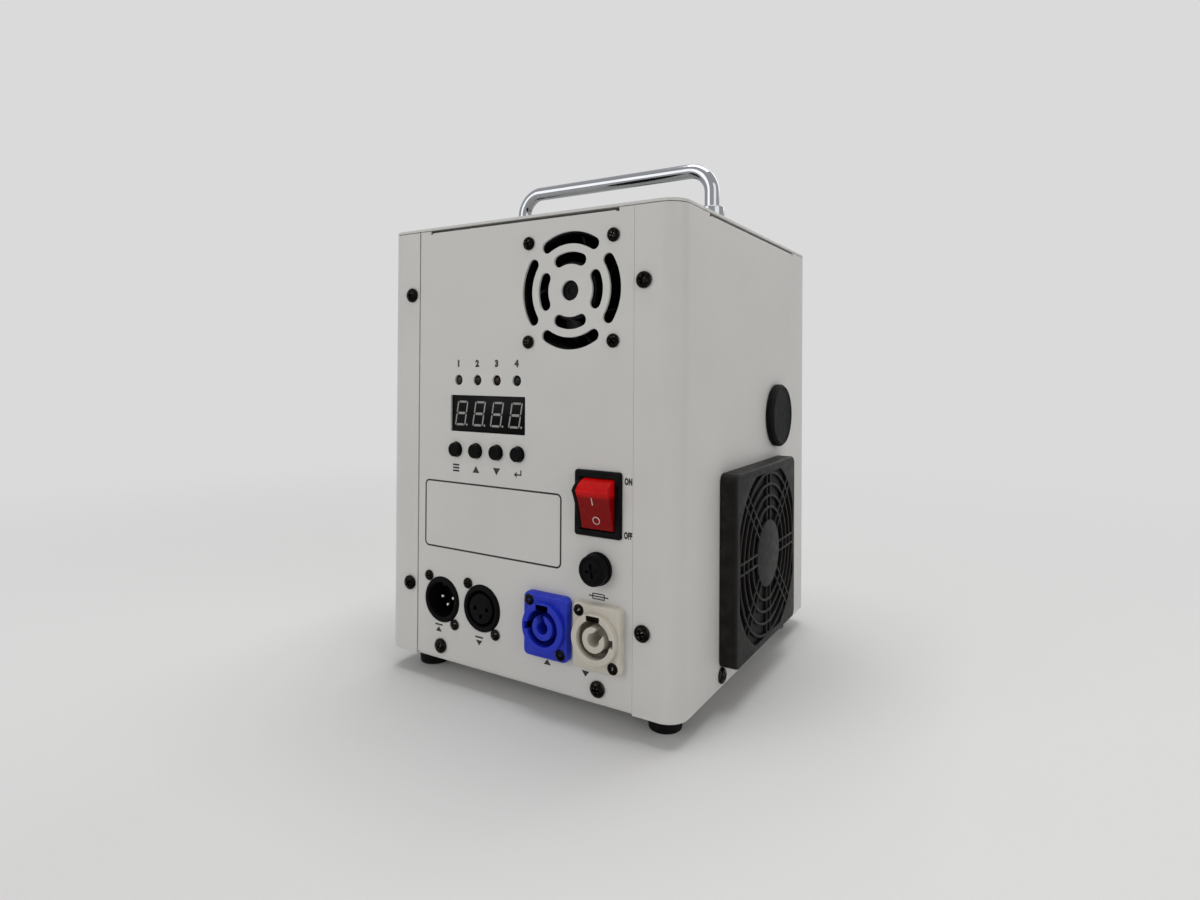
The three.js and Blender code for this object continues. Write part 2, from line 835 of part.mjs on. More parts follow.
// A pan-head screw whose head rests on z = 0
function caseScrew() {
  return turned([
    [0, -screwShankLength], [screwShankRadius, -screwShankLength], [screwShankRadius, 0],
    [screwHeadRadius, 0], [screwHeadRadius, screwHeadRim],
    [screwCrownRadius, screwHeadHeight], [0, screwHeadHeight]
  ], smallSides);
}

function addCaseScrews() {
  const screw = caseScrew();
  const stripX = halfWidth - stripScrewInset;
  const strips = mirrored(stripX).flatMap((x) => stripScrewHeights.map((y) => [x, y]));
  strips.forEach(([x, y], i) => part(panelFace, `strip_screw_${i + 1}`, screw, darkSteel, x, y, seat));
  mirrored(panelScrewX).forEach((x, i) => {
    part(panelFace, `panel_screw_${i + 1}`, screw, darkSteel, x, footScrewLine, seat);
  });
  mirrored(sideScrewSpread).forEach((x, i) => {
    part(sideFace, `side_screw_${i + 1}`, screw, darkSteel, midDepth + x, sideScrewHeight, seat);
    part(oppositeFace, `side_screw_${i + 3}`, screw, darkSteel, -midDepth - x, sideScrewHeight, seat);
  });
}

// A blade that wraps round its hub as a helix and leans back towards its tip
function fanBlade(root, tip, z0, z1, turn) {
  const shares = [0, 1 / 2, 1];
  const rings = shares.map((share) => {
    const radius = root + (tip - root) * share;
    const side = (offset, chord) => {
      const bow = bladeCamber * (1 - (2 * chord - 1) ** 2);
      const twist = bladeLean * share * share + bladeWrap * (chord - 1 / 2) + bow;
      const angle = turn + twist + offset / radius;
      const z = z0 + (z1 - z0) * chord;
      return new THREE.Vector3(radius * Math.cos(angle), radius * Math.sin(angle), z);
    };
    const half = fanBladeThick / 2;
    const front = [0, 1 / 2, 1].map((chord) => side(half, chord));
    const back = [1, 1 / 2, 0].map((chord) => side(-half, chord));
    return [...front, ...back];
  });
  return skin(rings);
}

// An axial fan from z = 0 back to z = -depth, with its struts and motor disc at z = 0
function axialFan(size, depth, pitch, hub, blades) {
  const bore = size / 2 - fanWall;
  const half = pitch / 2;
  const holes = fourCorners(half, half).map(([x, y]) => circle(fanHoleRadius, tinySides, x, y));
  const outline = roundedRectangle(size, size, fanCornerRadius, 2);
  const box = slab(outline, -depth, 0, [circle(bore, wideSides), ...holes]);
  const struts = [0, 1, 2, 3].map((i) => {
    const strut = block(0, bore + fanWall / 2, -fanStrut / 2, fanStrut / 2, -fanDisc, 0);
    return strut.rotateZ(quarter * (i + 1 / 2));
  });
  const frame = cut(join(box, drum(hub, -fanDisc, 0), ...struts), hole(0, 0, fanShaftRadius + seat));
  const top = -fanDisc - seat;
  const bottom = seat - depth;
  const tip = bore - fanTipGap;
  const low = bottom + fanBladeThick;
  const high = top - fanBladeThick;
  const vanes = Array.from({ length: blades }, (_, i) =>
    fanBlade(hub - bladeRootSink, tip, low, high, 2 * Math.PI * i / blades));
  const rotor = join(drum(hub, bottom, top), drum(fanShaftRadius, bottom, -seat, smallSides), ...vanes);
  return { frame, rotor };
}

function addRearFan() {
  const { frame, rotor } = axialFan(rearFanSize, rearFanThick, rearFanPitch, rearFanHub, rearFanBlades);
  part(panelFace, 'rear_fan_frame', frame, blackPlastic, rearFanX, rearFanHeight, innerFace);
  part(panelFace, 'rear_fan_rotor', rotor, blackPlastic, rearFanX, rearFanHeight, innerFace);
}

function addSideFan() {
  const { frame, rotor } = axialFan(sideFanSize, sideFanThick, sideFanPitch, sideFanHub, sideFanBlades);
  const turned = new THREE.Group();
  turned.rotation.y = Math.PI;
  turned.position.set(filterFromPanel, filterHeight, innerFace - sideFanThick);
  sideFace.add(turned);
  part(turned, 'side_fan_frame', frame, blackPlastic);
  part(turned, 'side_fan_rotor', rotor, blackPlastic);
}

// The grille is a hub, rings and pairs of parallel spokes inside a circle with four flat sides.
function grilleOpening(z0, z1) {
  const square = block(-grilleReach, grilleReach, -grilleReach, grilleReach, z0, z1);
  return common(square, drum(grilleRadius, z0 - overrun, z1 + overrun, wideSides));
}

function ringBar(radius, width, z0, z1, sides) {
  return slab(circle(radius + width / 2, sides), z0, z1, [circle(radius - width / 2, sides)]);
}

function filterCover() {
  const low = seat;
  const high = filterDepth;
  const outer = (inset) => roundedRectangle(filterSize - 2 * inset, filterSize - 2 * inset, filterCorner);
  const body = loft([outer(0), low], [outer(0), high - filterEdge], [outer(filterEdge), high]);
  const inside = filterSize / 2 - filterWall;
  const hollow = block(-inside, inside, -inside, inside, -overrun, high - filterFront);
  const barLow = high - filterFront;
  const ringStep = (grilleReach - grilleBar - grilleHub) / grilleRingCount;
  const rings = Array.from({ length: grilleRingCount }, (_, i) => {
    return ringBar(grilleHub + (i + 1) * ringStep, grilleBar, barLow, high, roundSides);
  });
  const turns = Array.from({ length: grilleSpokeCount }, (_, i) => 2 * Math.PI * i / grilleSpokeCount);
  const spokes = turns.map((turn) => mirrored(barSpacing / 2).map((offset) => {
    const bar = block(grilleHub - grilleBar, grilleRadius + overrun, offset - barWidth / 2,
      offset + barWidth / 2, barLow, high);
    return bar.rotateZ(turn);
  })).flat();
  const opening = grilleOpening(barLow - overrun, high + overrun);
  const bars = common(join(drum(grilleHub, barLow, high, wideSides), ...rings, ...spokes), opening);
  const shell = cut(cut(body, hollow), opening);
  return { shell, bars, opening };
}

function addFilter() {
  const { shell, bars } = filterCover();
  const frameSize = filterSize - 2 * (filterWall + seat);
  const frameTop = seat + filterFrameThick;
  const outline = roundedRectangle(frameSize, frameSize, filterCorner);
  const plate = cut(slab(outline, seat, frameTop), grilleOpening(0, frameTop + overrun));
  const half = sideFanPitch / 2;
  const shanks = fourCorners(half, half).map(([x, y]) =>
    drum(screwShankRadius, innerFace - overrun, frameTop, smallSides).translate(x, y, 0));
  const crossBar = (turn) => {
    const reach = grilleRadius + filterFrameRing;
    const thin = filterFrameRing / 2;
    return block(-reach, reach, -thin, thin, seat, frameTop).rotateZ(turn);
  };
  const frame = join(
    plate,
    crossBar(quarter / 2),
    crossBar(-quarter / 2),
    ...shanks
  );
  const foamSize = frameSize - 2 * seat;
  const foamTop = filterDepth - filterFront - seat;
  const foam = slab(roundedRectangle(foamSize, foamSize, filterCorner), frameTop + seat, foamTop);
  const x = filterFromPanel;
  part(sideFace, 'filter_frame', frame, blackPlastic, x, filterHeight);
  part(sideFace, 'filter_foam', foam, blackFoam, x, filterHeight);
  part(sideFace, 'filter_cover', join(shell, bars), blackPlastic, x, filterHeight);
}

function addSidePlug() {
  const head = [
    [0, -plugSkirt], [plugHoleRadius, -plugSkirt], [plugHoleRadius, seat], [plugHeadRadius, seat],
    [plugHeadRadius, plugHeadRim], [plugHeadRadius - plugHeadRim, plugHead], [0, plugHead]
  ];
  const hollow = drum(plugHoleRadius - plugSkirtWall, -plugSkirt - overrun, seat, wideSides);
  part(sideFace, 'side_plug', cut(turned(head, wideSides), hollow), blackRubber, plugFromPanel, plugHeight);
}

// Three-pole connectors: the round body passes through the panel, its flange lies behind.
function poles(radius, z0, z1) {
  const places = [[-poleCircle, 0], [poleCircle, 0], [0, -poleCircle]];
  return places.map(([x, y]) => drum(radius, z0, z1, tinySides).translate(x, y, 0));
}

function dataConnector() {
  const outline = roundedRectangle(dataFlangeWidth, dataFlangeTall, dataFlangeCorner);
  const flange = slab(outline, innerFace - dataFlange, innerFace);
  const ring = [
    [0, -dataBodyLength], [dataRingRadius, -dataBodyLength], [dataRingRadius, dataRingProud - dataRingRound],
    [dataRingRadius - dataRingRound, dataRingProud], [0, dataRingProud]
  ];
  const screwHoles = [[-flangeScrewX, flangeScrewY], [flangeScrewX, -flangeScrewY]];
  return cut(
    join(flange, turned(ring, wideSides)),
    drum(dataBoreRadius, dataRingProud - dataBoreDepth, dataRingProud + overrun, wideSides),
    ...screwHoles.map(([x, y]) => hole(x, y, flangeScrewRadius))
  );
}

function addDataConnectors() {
  const floor = dataRingProud - dataBoreDepth;
  const pins = poles(poleRadius, floor - poleRadius, dataRingProud - poleDip);
  const insert = drum(insertRadius, floor - poleRadius, dataRingProud - insertDip, roundSides);
  const sockets = poles(poleRadius, dataRingProud - insertHoleDepth, dataRingProud + overrun);
  const male = join(dataConnector(), ...pins);
  const female = join(dataConnector(), cut(insert, ...sockets));
  part(panelFace, 'dmx_in_connector', male, blackPlastic, dataInX, socketHeight);
  part(panelFace, 'dmx_out_connector', female, blackPlastic, dataOutX, socketHeight);
}

// Locking power connector: a bevelled flange, a raised ring with key notches and a slotted core.
function powerConnector(sideKeyTurn, slotTurn) {
  const outer = (inset) => {
    return roundedRectangle(powerFlangeWidth - 2 * inset, powerFlangeTall - 2 * inset, powerCorner);
  };
  const top = powerFlange + powerRingProud;
  const side = powerFlange - powerFlangeEdge;
  const flange = loft([outer(0), seat], [outer(0), side], [outer(powerFlangeEdge), powerFlange]);
  const ring = drum(powerRingRadius, seat + powerFlangeEdge, top, wideSides);
  const barrel = drum(powerBodyRadius, -powerBodyLength, powerFlangeEdge);
  const bore = drum(powerBoreRadius, top - powerBoreDepth, top + overrun, wideSides);
  const key = (width, turn) => {
    const notch = block(0, powerKeyReach, -width / 2, width / 2, top - powerBoreDepth / 2, top + overrun);
    return notch.rotateZ(turn);
  };
  const coreTop = top - powerCoreDip;
  const core = cut(
    drum(powerCoreRadius, top - powerBoreDepth - sheet, coreTop, roundSides),
    drum(powerCoreBore, coreTop - powerCoreDepth, coreTop + overrun, smallSides),
    block(0, powerCoreRadius + overrun, -powerCoreSlot / 2, powerCoreSlot / 2, coreTop - powerCoreDepth,
      coreTop + overrun).rotateZ(slotTurn)
  );
  const screwHoles = [[-flangeScrewX, flangeScrewY], [flangeScrewX, -flangeScrewY]];
  const housing = cut(
    join(flange, ring, barrel),
    bore,
    key(powerKeyWidth, quarter),
    key(powerSideKeyWidth, sideKeyTurn),
    ...screwHoles.map(([x, y]) => drum(flangeScrewRadius, 0, overrun, tinySides).translate(x, y, 0))
  );
  return join(housing, core);
}

function addPowerConnectors() {
  const inlet = powerConnector(Math.PI, powerInSlotTurn);
  const outlet = powerConnector(0, powerOutSlotTurn);
  part(panelFace, 'power_inlet', inlet, bluePlastic, powerInX, socketHeight);
  part(panelFace, 'power_outlet', outlet, greyPlastic, powerOutX, socketHeight);
}

function addFuse() {
  const flangeTop = seat + fuseFlange;
  const holder = cut(
    join(
      drum(fuseFlangeRadius, seat, flangeTop, roundSides),
      drum(fuseBarrelRadius, -fuseBarrelLength, flangeTop),
      slab(circle(fuseNutRadius, tinySides), innerFace - fuseNut, innerFace)
    ),
    drum(fuseBoreRadius, sheet - fuseBarrelLength, flangeTop + overrun)
  );
  const capLow = flangeTop + seat;
  const capTop = capLow + fuseCapTall;
  const rim = fuseRingWidth;
  const profile = [
    [0, -fuseStubLength], [fuseStubRadius, -fuseStubLength], [fuseStubRadius, capLow],
    [fuseCapRadius, capLow], [fuseCapRadius, capTop - fuseCapTaper], [fuseCapRadius - fuseCapTaper, capTop],
    [fuseRingRadius + rim, capTop], [fuseRingRadius, capTop - fuseRingDepth],
    [fuseRingRadius - rim, capTop], [0, capTop]
  ];
  const long = fuseSlotLength / 2;
  const thin = fuseSlotWidth / 2;
  const cap = cut(
    turned(profile, roundSides),
    block(-long, long, -thin, thin, capTop - fuseSlotDepth, capTop + overrun),
    block(-thin, thin, -long, long, capTop - fuseSlotDepth, capTop + overrun)
  );
  const tubeTop = -fuseStubLength - seat;
  const tube = drum(fuseTubeRadius, tubeTop - fuseTubeLength, tubeTop, smallSides);
  part(panelFace, 'fuse_holder', holder, blackPlastic, fuseX, fuseHeight);
  part(panelFace, 'fuse_cap', cap, blackPlastic, fuseX, fuseHeight);
  part(panelFace, 'fuse_tube', tube, clearGlass, fuseX, fuseHeight);
}

// The rocker is drawn level, as a profile about its pivot with its face along x, and then tipped to off.
function rocker() {
  const onEnd = (angle) => new THREE.Vector2(rockerRadius * Math.sin(angle), rockerRadius * Math.cos(angle));
  const step = (rockerEdgeTurn + rockerBackTurn) / (slotSteps - 1);
  const upper = Array.from({ length: slotSteps }, (_, i) => onEnd(rockerEdgeTurn - step * i));
  const lower = upper.map((p) => new THREE.Vector2(p.x, -p.y)).reverse();
  const dish = new THREE.Vector2(upper[0].x - rockerDish, 0);
  const half = rockerWidth / 2;
  const pin = drum(rockerPinRadius, -half - rockerPinLength, half + rockerPinLength, smallSides);
  const body = geometryOf(join(slab([...upper, ...lower, dish], -half, half), pin));
  const faceOut = new THREE.Matrix4().makeBasis(
    new THREE.Vector3(0, 0, 1), new THREE.Vector3(0, 1, 0), new THREE.Vector3(-1, 0, 0));
  return body.applyMatrix4(faceOut).rotateX(rockerTilt);
}

function switchHousing() {
  const outer = (inset) => roundedRectangle(bezelWidth - 2 * inset, bezelTall - 2 * inset, bezelCorner, 2);
  const bezel = loft([outer(0), seat], [outer(0), seat + bezelRim], [outer(bezelChamfer), bezelProud]);
  const wide = bezelWidth - 2 * (bezelCorner + seat);
  const tall = bezelTall - 2 * (bezelCorner + seat);
  const box = block(-wide / 2, wide / 2, -tall / 2, tall / 2, -switchDeep, seat + bezelRim);
  const cavityX = rockerWidth / 2 + seat;
  const cavityY = rockerRadius + seat;
  const cavity = block(-cavityX, cavityX, -cavityY, cavityY, -switchCavity, bezelProud + overrun);
  const pinReach = cavityX + rockerPinLength;
  const pinHole = drum(rockerPinRadius + seat, -pinReach, pinReach, smallSides);
  const terminals = mirrored(wide / 4).flatMap((x) => mirrored(tall / 4).map((y) => {
    const flat = terminalWidth / 2;
    const thin = terminalThick / 2;
    const back = -switchDeep - terminalLength;
    return block(x - thin, x + thin, y - flat, y + flat, back, -switchCavity - switchWall);
  }));
  pinHole.rotateY(quarter).translate(0, 0, -rockerPivotDepth);
  return cut(join(bezel, box, ...terminals), cavity, pinHole);
}

function addSwitch() {
  part(panelFace, 'switch_housing', switchHousing(), blackPlastic, switchX, switchHeight);
  part(panelFace, 'switch_rocker', rocker(), redPlastic, switchX, switchHeight, -rockerPivotDepth);
}

function addDisplayAndKeys() {
  const boardTop = -boardDrop;
  const halfX = boardWidth / 2;
  const halfY = boardHeight / 2;
  const board = block(-halfX, halfX, -halfY, halfY, boardTop - boardThick, boardTop);
  const standoffs = fourCorners(halfX - standoffInset, halfY - standoffInset).map(([x, y]) =>
    drum(standoffRadius, boardTop - seat, innerFace, smallSides).translate(x, y, 0));
  const keys = buttonXs.map((x) => {
    const left = x - boardCentreX - keySize / 2;
    const low = -buttonsBelowCentre - keySize / 2;
    return block(left, left + keySize, low, low + keySize, boardTop - seat, boardTop + keyHeight);
  });
  const boardWithKeys = join(board, ...standoffs, ...keys);
  part(panelFace, 'display_board', boardWithKeys, greenBoard, boardCentreX, boardCentreHeight);
  const face = roundedRectangle(displayWidth, displayTall, seat, 1);
  const module = slab(face, boardTop + seat, -displayRecess);
  part(panelFace, 'display_module', module, displayFace, boardCentreX, displayHeight);
  const keyTop = boardTop + keyHeight;
  const foot = keyTop + buttonTravel + keyPlay;
  const collarTop = innerFace;
  const button = turned([
    [0, foot], [buttonRadius, foot], [buttonRadius, collarTop - buttonCollarThick],
    [buttonRadius + buttonCollar, collarTop - buttonCollarThick], [buttonRadius + buttonCollar, collarTop],
    [buttonRadius, collarTop], [buttonRadius, buttonProud - buttonRound],
    [buttonRadius - buttonRound, buttonProud], [0, buttonProud]
  ], smallSides);
  buttonXs.forEach((x, i) => part(panelFace, `button_${i + 1}`, button, blackPlastic, x, buttonHeight));
  const low = boardTop + seat;
  const tip = -lampRecess;
  const domeBase = tip - lampRadius;
  const dome = lampDomeTurns.map((turn) => {
    return [lampRadius * Math.cos(turn), domeBase + lampRadius * Math.sin(turn)];
  });
  const lamp = turned([
    [0, low], [lampRimRadius, low], [lampRimRadius, low + lampRim], [lampRadius, low + lampRim],
    [lampRadius, domeBase], ...dome, [0, tip]
  ], smallSides);
  lampXs.forEach((x, i) => part(panelFace, `indicator_${i + 1}`, lamp, lampLens, x, lampHeight));
}

// Inner pieces whose shape is drawn from the filter side: x runs away from the panel, y is the height.
const crossways = new THREE.Group();
crossways.rotation.copy(sideFace.rotation);
machine.add(crossways);

function alongDepth(outline, y0, y1, holes = []) {
  return slab(outline, -y1, -y0, holes).rotateX(quarter);
}

function depthDrum(radius, y0, y1, sides = roundSides) {
  return drum(radius, -y1, -y0, sides).rotateX(quarter);
}

function addPowerSupply() {
  const stepDepth = supplyStep;
  const low = supplyLedge;
  const points = [
    [0, 0], [supplyLength, 0], [supplyLength, supplyTall], [stepDepth, supplyTall], [stepDepth, low], [0, low]
  ];
  const outline = points.map(([x, y]) => new THREE.Vector2(x, y));
  const half = supplyHalfWidth;
  const ventSpacing = (supplyLength - stepDepth) / (supplyVents + 1);
  const vents = Array.from({ length: supplyVents }, (_, i) => {
    const x = stepDepth + (i + 1) * ventSpacing;
    const floor = supplyTall - supplyVentDepth;
    return block(x, x + supplyVentWidth, floor, supplyTall + overrun, -half / 2, half / 2);
  });
  const supply = cut(slab(outline, -half, half), ...vents);
  part(crossways, 'power_supply', supply, plainSteel, supplyFront, trayTop + seat);
}

// A bent sheet on two legs, with a shelf for the blower and a top plate for the heater
function addInnerBracket() {
  const outside = bracketHalfWidth;
  const inside = outside - sheet;
  const foot = outside + bracketFoot;
  const low = trayTop + seat;
  const shelf = trayTop + bracketShelf;
  const top = trayTop + bracketTop;
  const right = [
    [inside, shelf - sheet], [inside, low], [foot, low],
    [foot, low + sheet], [outside, low + sheet], [outside, top]
  ];
  const left = right.map(([x, z]) => [-x, z]).reverse();
  const outline = [...right, ...left].map(([x, z]) => new THREE.Vector2(x, z));
  const openings = [[-inside, shelf], [inside, shelf], [inside, top - sheet], [-inside, top - sheet]];
  const back = bodyDepth - bracketFromFront;
  const near = back - bracketLength;
  const between = openings.map(([x, z]) => new THREE.Vector2(x, z));
  const margin = bracketMargin;
  const wide = outside + overrun;
  const legWindow = block(-wide, wide, near + margin, back - margin, shelf + margin, top - margin);
  const spigotHole = drum(cupSpigotRadius + seat, top - overrun, top + overrun).translate(0, nozzleY, 0);
  const bracket = cut(alongDepth(outline, near, back, [between]), legWindow, spigotHole);
  part(machine, 'inner_bracket', bracket, plainSteel);
}

// The scroll widens clockwise from its tongue to the outlet, which points up.
function scrollSpace(wall, top, depth) {
  const steps = roundSides;
  const outline = Array.from({ length: steps + 1 }, (_, i) => {
    const share = i / steps;
    const angle = blowerTongueTurn - (Math.PI + blowerTongueTurn) * share;
    const radius = blowerSmall + (blowerLarge - blowerSmall) * share - wall;
    return new THREE.Vector2(radius * Math.cos(angle), radius * Math.sin(angle));
  });
  const half = depth / 2;
  const outlet = block(wall - blowerLarge, blowerOutlet - blowerLarge - wall, 0, top, -half, half);
  return join(slab(outline, -half, half), outlet);
}

function blowerWheel(reach) {
  const disc = drum(wheelRadius, reach - wheelDisc, reach);
  const hub = drum(wheelHub, -reach / 2, reach, smallSides);
  const ringMiddle = (wheelRadius + wheelInner) / 2;
  const ring = ringBar(ringMiddle, wheelRadius - wheelInner, -reach, wheelDisc - reach, roundSides);
  const thin = wheelVaneThick / 2;
  const sunk = reach - wheelDisc / 2;
  const vanes = Array.from({ length: wheelVanes }, (_, i) => {
    const vane = block(wheelInner, wheelRadius - thin, -thin, thin, -sunk, sunk);
    return vane.rotateZ(2 * Math.PI * i / wheelVanes);
  });
  return join(disc, hub, ring, ...vanes);
}

function addBlower() {
  const shelf = trayTop + bracketShelf;
  const height = shelf + seat + blowerLarge;
  const top = trayTop + bracketTop - sheet - seat - height;
  const half = blowerWidth / 2;
  const stand = block(-blowerSmall / 2, blowerSmall / 2, -blowerLarge, -blowerSmall, -half, half);
  const motor = drum(blowerMotorRadius, 0, half + blowerMotorProud);
  const inside = scrollSpace(blowerWall, top + overrun, blowerWidth - 2 * blowerWall);
  const eye = drum(blowerEyeRadius, -half - overrun, 0);
  const housing = cut(join(scrollSpace(0, top, blowerWidth), stand, motor), inside, eye);
  const outletCentre = blowerOutlet / 2 - blowerLarge;
  const depth = nozzleY - outletCentre;
  part(crossways, 'blower_housing', housing, blackPlastic, depth, height);
  part(crossways, 'blower_impeller', blowerWheel(half - blowerWall - seat), blackPlastic, depth, height);
}

const cupBottom = trayTop + bracketTop + seat;

function addHeaterCup() {
  const spigotBore = cupSpigotRadius - cupSpigotWall;
  const bandLow = (cupTall - cupBandTall) / 2;
  const bandHigh = bandLow + cupBandTall;
  const bandRadius = cupRadius + cupBand;
  const profile = [
    [0, 0], [spigotBore, 0], [spigotBore, -cupSpigot], [cupSpigotRadius, -cupSpigot], [cupSpigotRadius, 0],
    [cupRadius, 0], [cupRadius, bandLow], [bandRadius, bandLow], [bandRadius, bandHigh],
    [cupRadius, bandHigh], [cupRadius, cupTall], [cupBore, cupTall], [cupBore, cupFloor], [0, cupFloor]
  ];
  const inlet = depthDrum(barrelRadius + seat, -cupRadius - overrun, -cupBore / 2, smallSides);
  const airHoles = Array.from({ length: cupAirHoles }, (_, i) => {
    const airHole = drum(cupAirHole, -overrun, cupFloor + overrun, tinySides).translate(spigotBore / 2, 0, 0);
    return airHole.rotateZ(2 * Math.PI * i / cupAirHoles);
  });
  const cup = cut(turned(profile), inlet.translate(0, 0, feedHeight - cupBottom), ...airHoles);
  part(machine, 'heater_cup', cup, plainSteel, 0, nozzleY, cupBottom);
}

function addSparkNozzle() {
  const low = cupBottom + cupTall + seat;
  const rest = bodyHeight + seat;
  const top = rest + nozzleRim;
  const outside = nozzleBore + nozzleWall;
  const profile = [
    [nozzleBore, low], [outside, low], [outside, rest],
    [nozzleRimRadius, rest], [nozzleRimRadius, top - nozzleDish],
    [nozzleRimRadius - nozzleDish, top], [outside, top], [nozzleBore, top - nozzleDish], [nozzleBore, low]
  ];
  part(machine, 'spark_nozzle', turned(profile, wideSides), plainSteel, 0, nozzleY);
}

const feedStart = hopperFromPanel - feedSpan;
const feedEnd = nozzleY - cupRadius + feedEntry;

// Granule hopper and feed barrel in one piece
function addHopper() {
  const neck = bodyHeight - hopperNeck;
  const coneLow = feedHeight + hopperConeBottom;
  const rest = bodyHeight + seat;
  const top = rest + hopperRim;
  const outside = turned([
    [0, feedHeight], [hopperThroat + hopperWall, feedHeight], [hopperThroat + hopperWall, coneLow],
    [hopperRadius, neck], [hopperRadius, rest], [hopperRimRadius, rest], [hopperRimRadius, top], [0, top]
  ], wideSides);
  const inside = turned([
    [0, feedHeight], [hopperThroat, feedHeight], [hopperThroat, coneLow],
    [hopperRadius - hopperWall, neck], [hopperRadius - hopperWall, top + overrun], [0, top + overrun]
  ], wideSides);
  const start = feedStart - hopperFromPanel;
  const end = feedEnd - hopperFromPanel;
  const barrel = depthDrum(barrelRadius, start, end, smallSides).translate(0, 0, feedHeight);
  const flange = depthDrum(motorRadius, start, start + feedFlange).translate(0, 0, feedHeight);
  const bore = depthDrum(barrelBore, start - overrun, end + overrun, smallSides).translate(0, 0, feedHeight);
  part(machine, 'hopper', cut(join(outside, barrel, flange), inside, bore), plainSteel, 0, hopperFromPanel);
}

function addHopperCap() {
  const skirt = hopperRadius - hopperWall - seat;
  const edge = capRadius - capEdge;
  const knob = capTall + capKnobTall;
  const profile = [
    [0, 0], [skirt - capSpigotWall, 0], [skirt - capSpigotWall, -capSpigot], [skirt, -capSpigot], [skirt, 0],
    [capRadius, 0], [capRadius, capTall - capEdge], [edge, capTall], [capKnobRadius, capTall],
    [capKnobRadius - capEdge, knob], [0, knob]
  ];
  const low = bodyHeight + 2 * seat + hopperRim;
  part(machine, 'hopper_cap', turned(profile, wideSides), blackPlastic, 0, hopperFromPanel, low);
}

// The motor's stub shaft turns a screw with one helical flight, drawn from z = 0 along its own axis.
function addFeed() {
  const length = feedEnd - feedStart;
  const steps = feedTurns * tinySides;
  const thin = feedFlightThick / 2;
  const inner = feedShaftRadius / 2;
  const first = feedHub;
  const run = length - feedHub - thin;
  const rings = Array.from({ length: steps + 1 }, (_, i) => {
    const angle = 2 * Math.PI * feedTurns * i / steps;
    const z = first + run * i / steps;
    const x = Math.cos(angle);
    const y = Math.sin(angle);
    const corners = [[inner, -thin], [inner, thin], [feedFlightRadius, thin], [feedFlightRadius, -thin]];
    return corners.map(([radius, rise]) => new THREE.Vector3(radius * x, radius * y, z + rise));
  });
  const shaft = drum(feedShaftRadius, 0, length, tinySides);
  const hub = drum(2 * feedShaftRadius, 0, feedHub, tinySides);
  const socket = drum(motorStubRadius + seat, -overrun, motorStub + seat, smallSides);
  const screw = cut(join(shaft, hub, skin(rings)), socket);
  const axis = new THREE.Group();
  axis.rotation.x = -quarter;
  axis.position.set(0, feedStart, feedHeight);
  machine.add(axis);
  part(axis, 'feed_screw', screw, plainSteel, 0, 0, seat);
  const back = -seat - motorLength;
  const gearEnd = -seat - motorHeadLength;
  const motor = join(
    drum(motorRadius, gearEnd, -seat),
    drum(motorRadius - sheet, back, gearEnd),
    drum(motorStubRadius, gearEnd, motorStub, smallSides),
    drum(2 * motorStubRadius, back - sheet, back, smallSides)
  );
  part(axis, 'gear_motor', motor, plainSteel);
}

// Driver board on the wall opposite the filter, with its heat sink, chokes and relays
function addMainBoard() {
  const face = innerFace - driverPost;
  const under = face - boardThick;
  const left = -driverFromPanel - driverLength;
  const right = -driverFromPanel;
  const low = driverHeight;
  const high = driverHeight + driverTall;
  const board = block(left, right, low, high, under, face);
  const midX = (left + right) / 2;
  const midY = (low + high) / 2;
  const postX = driverLength / 2 - driverInset;
  const postY = driverTall / 2 - driverInset;
  const posts = fourCorners(postX, postY).map(([x, y]) =>
    drum(driverPostRadius, under, innerFace, smallSides).translate(midX + x, midY + y, 0));
  const sinkBottom = high - driverInset - sinkTall;
  const sinkLeft = left + driverInset;
  const sinkRight = sinkLeft + sinkLength;
  const sinkPlate = block(sinkLeft, sinkRight, sinkBottom, sinkBottom + sinkTall, under - sinkBase, under);
  const finSpacing = (sinkTall - sinkFin) / (sinkFins - 1);
  const fins = Array.from({ length: sinkFins }, (_, i) => {
    const y = sinkBottom + i * finSpacing;
    return block(sinkLeft, sinkRight, y, y + sinkFin, under - sinkDepth, under);
  });
  const chokes = [1 / 4, 3 / 4].map((share) => {
    const choke = drum(chokeRadius, under - chokeTall, under, smallSides);
    return choke.translate(left + driverLength * share, low + driverTall / 4, 0);
  });
  const relays = [1 / 2, 3 / 4].map((share) => {
    const x = right - driverInset - relaySize;
    const y = low + driverTall * share;
    return block(x, x + relaySize, y, y + relaySize, under - relaySize, under);
  });
  const loaded = join(board, ...posts, sinkPlate, ...fins, ...chokes, ...relays);
  part(oppositeFace, 'main_board', loaded, greenBoard);
}

addCaseScrews();
part(machine, 'shell_wrap', shellWrap(), whitePaint);
part(machine, 'control_panel', controlPanel(), whitePaint);
part(machine, 'top_lid', topLid(), whitePaint);
part(machine, 'base_plate', basePlate(), whitePaint);
addFeet();
addHandle();
addRearFan();
addSideFan();
addFilter();
addSidePlug();
addDataConnectors();
addPowerConnectors();
addFuse();
addSwitch();
addDisplayAndKeys();
addPowerSupply();
addInnerBracket();
addBlower();
addHeaterCup();
addSparkNozzle();
addHopper();
addHopperCap();
addFeed();
addMainBoard();

// The origin is the middle of the underside of the machine's bounding box.
const bounds = new THREE.Box3().setFromObject(machine, true);
const middle = bounds.getCenter(new THREE.Vector3());
machine.position.set(-middle.x, -middle.y, -bounds.min.z);
const coldSparkMachine = new THREE.Group();
coldSparkMachine.add(machine);

export default coldSparkMachine;
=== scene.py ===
"""Looks of a cold spark machine: a white sheet-metal case with its controls, fans, filter and hopper.

Run as a script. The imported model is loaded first, and each operator builds a piece or a group of like
pieces round it. Drawing measures are millimetres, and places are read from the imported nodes.
"""

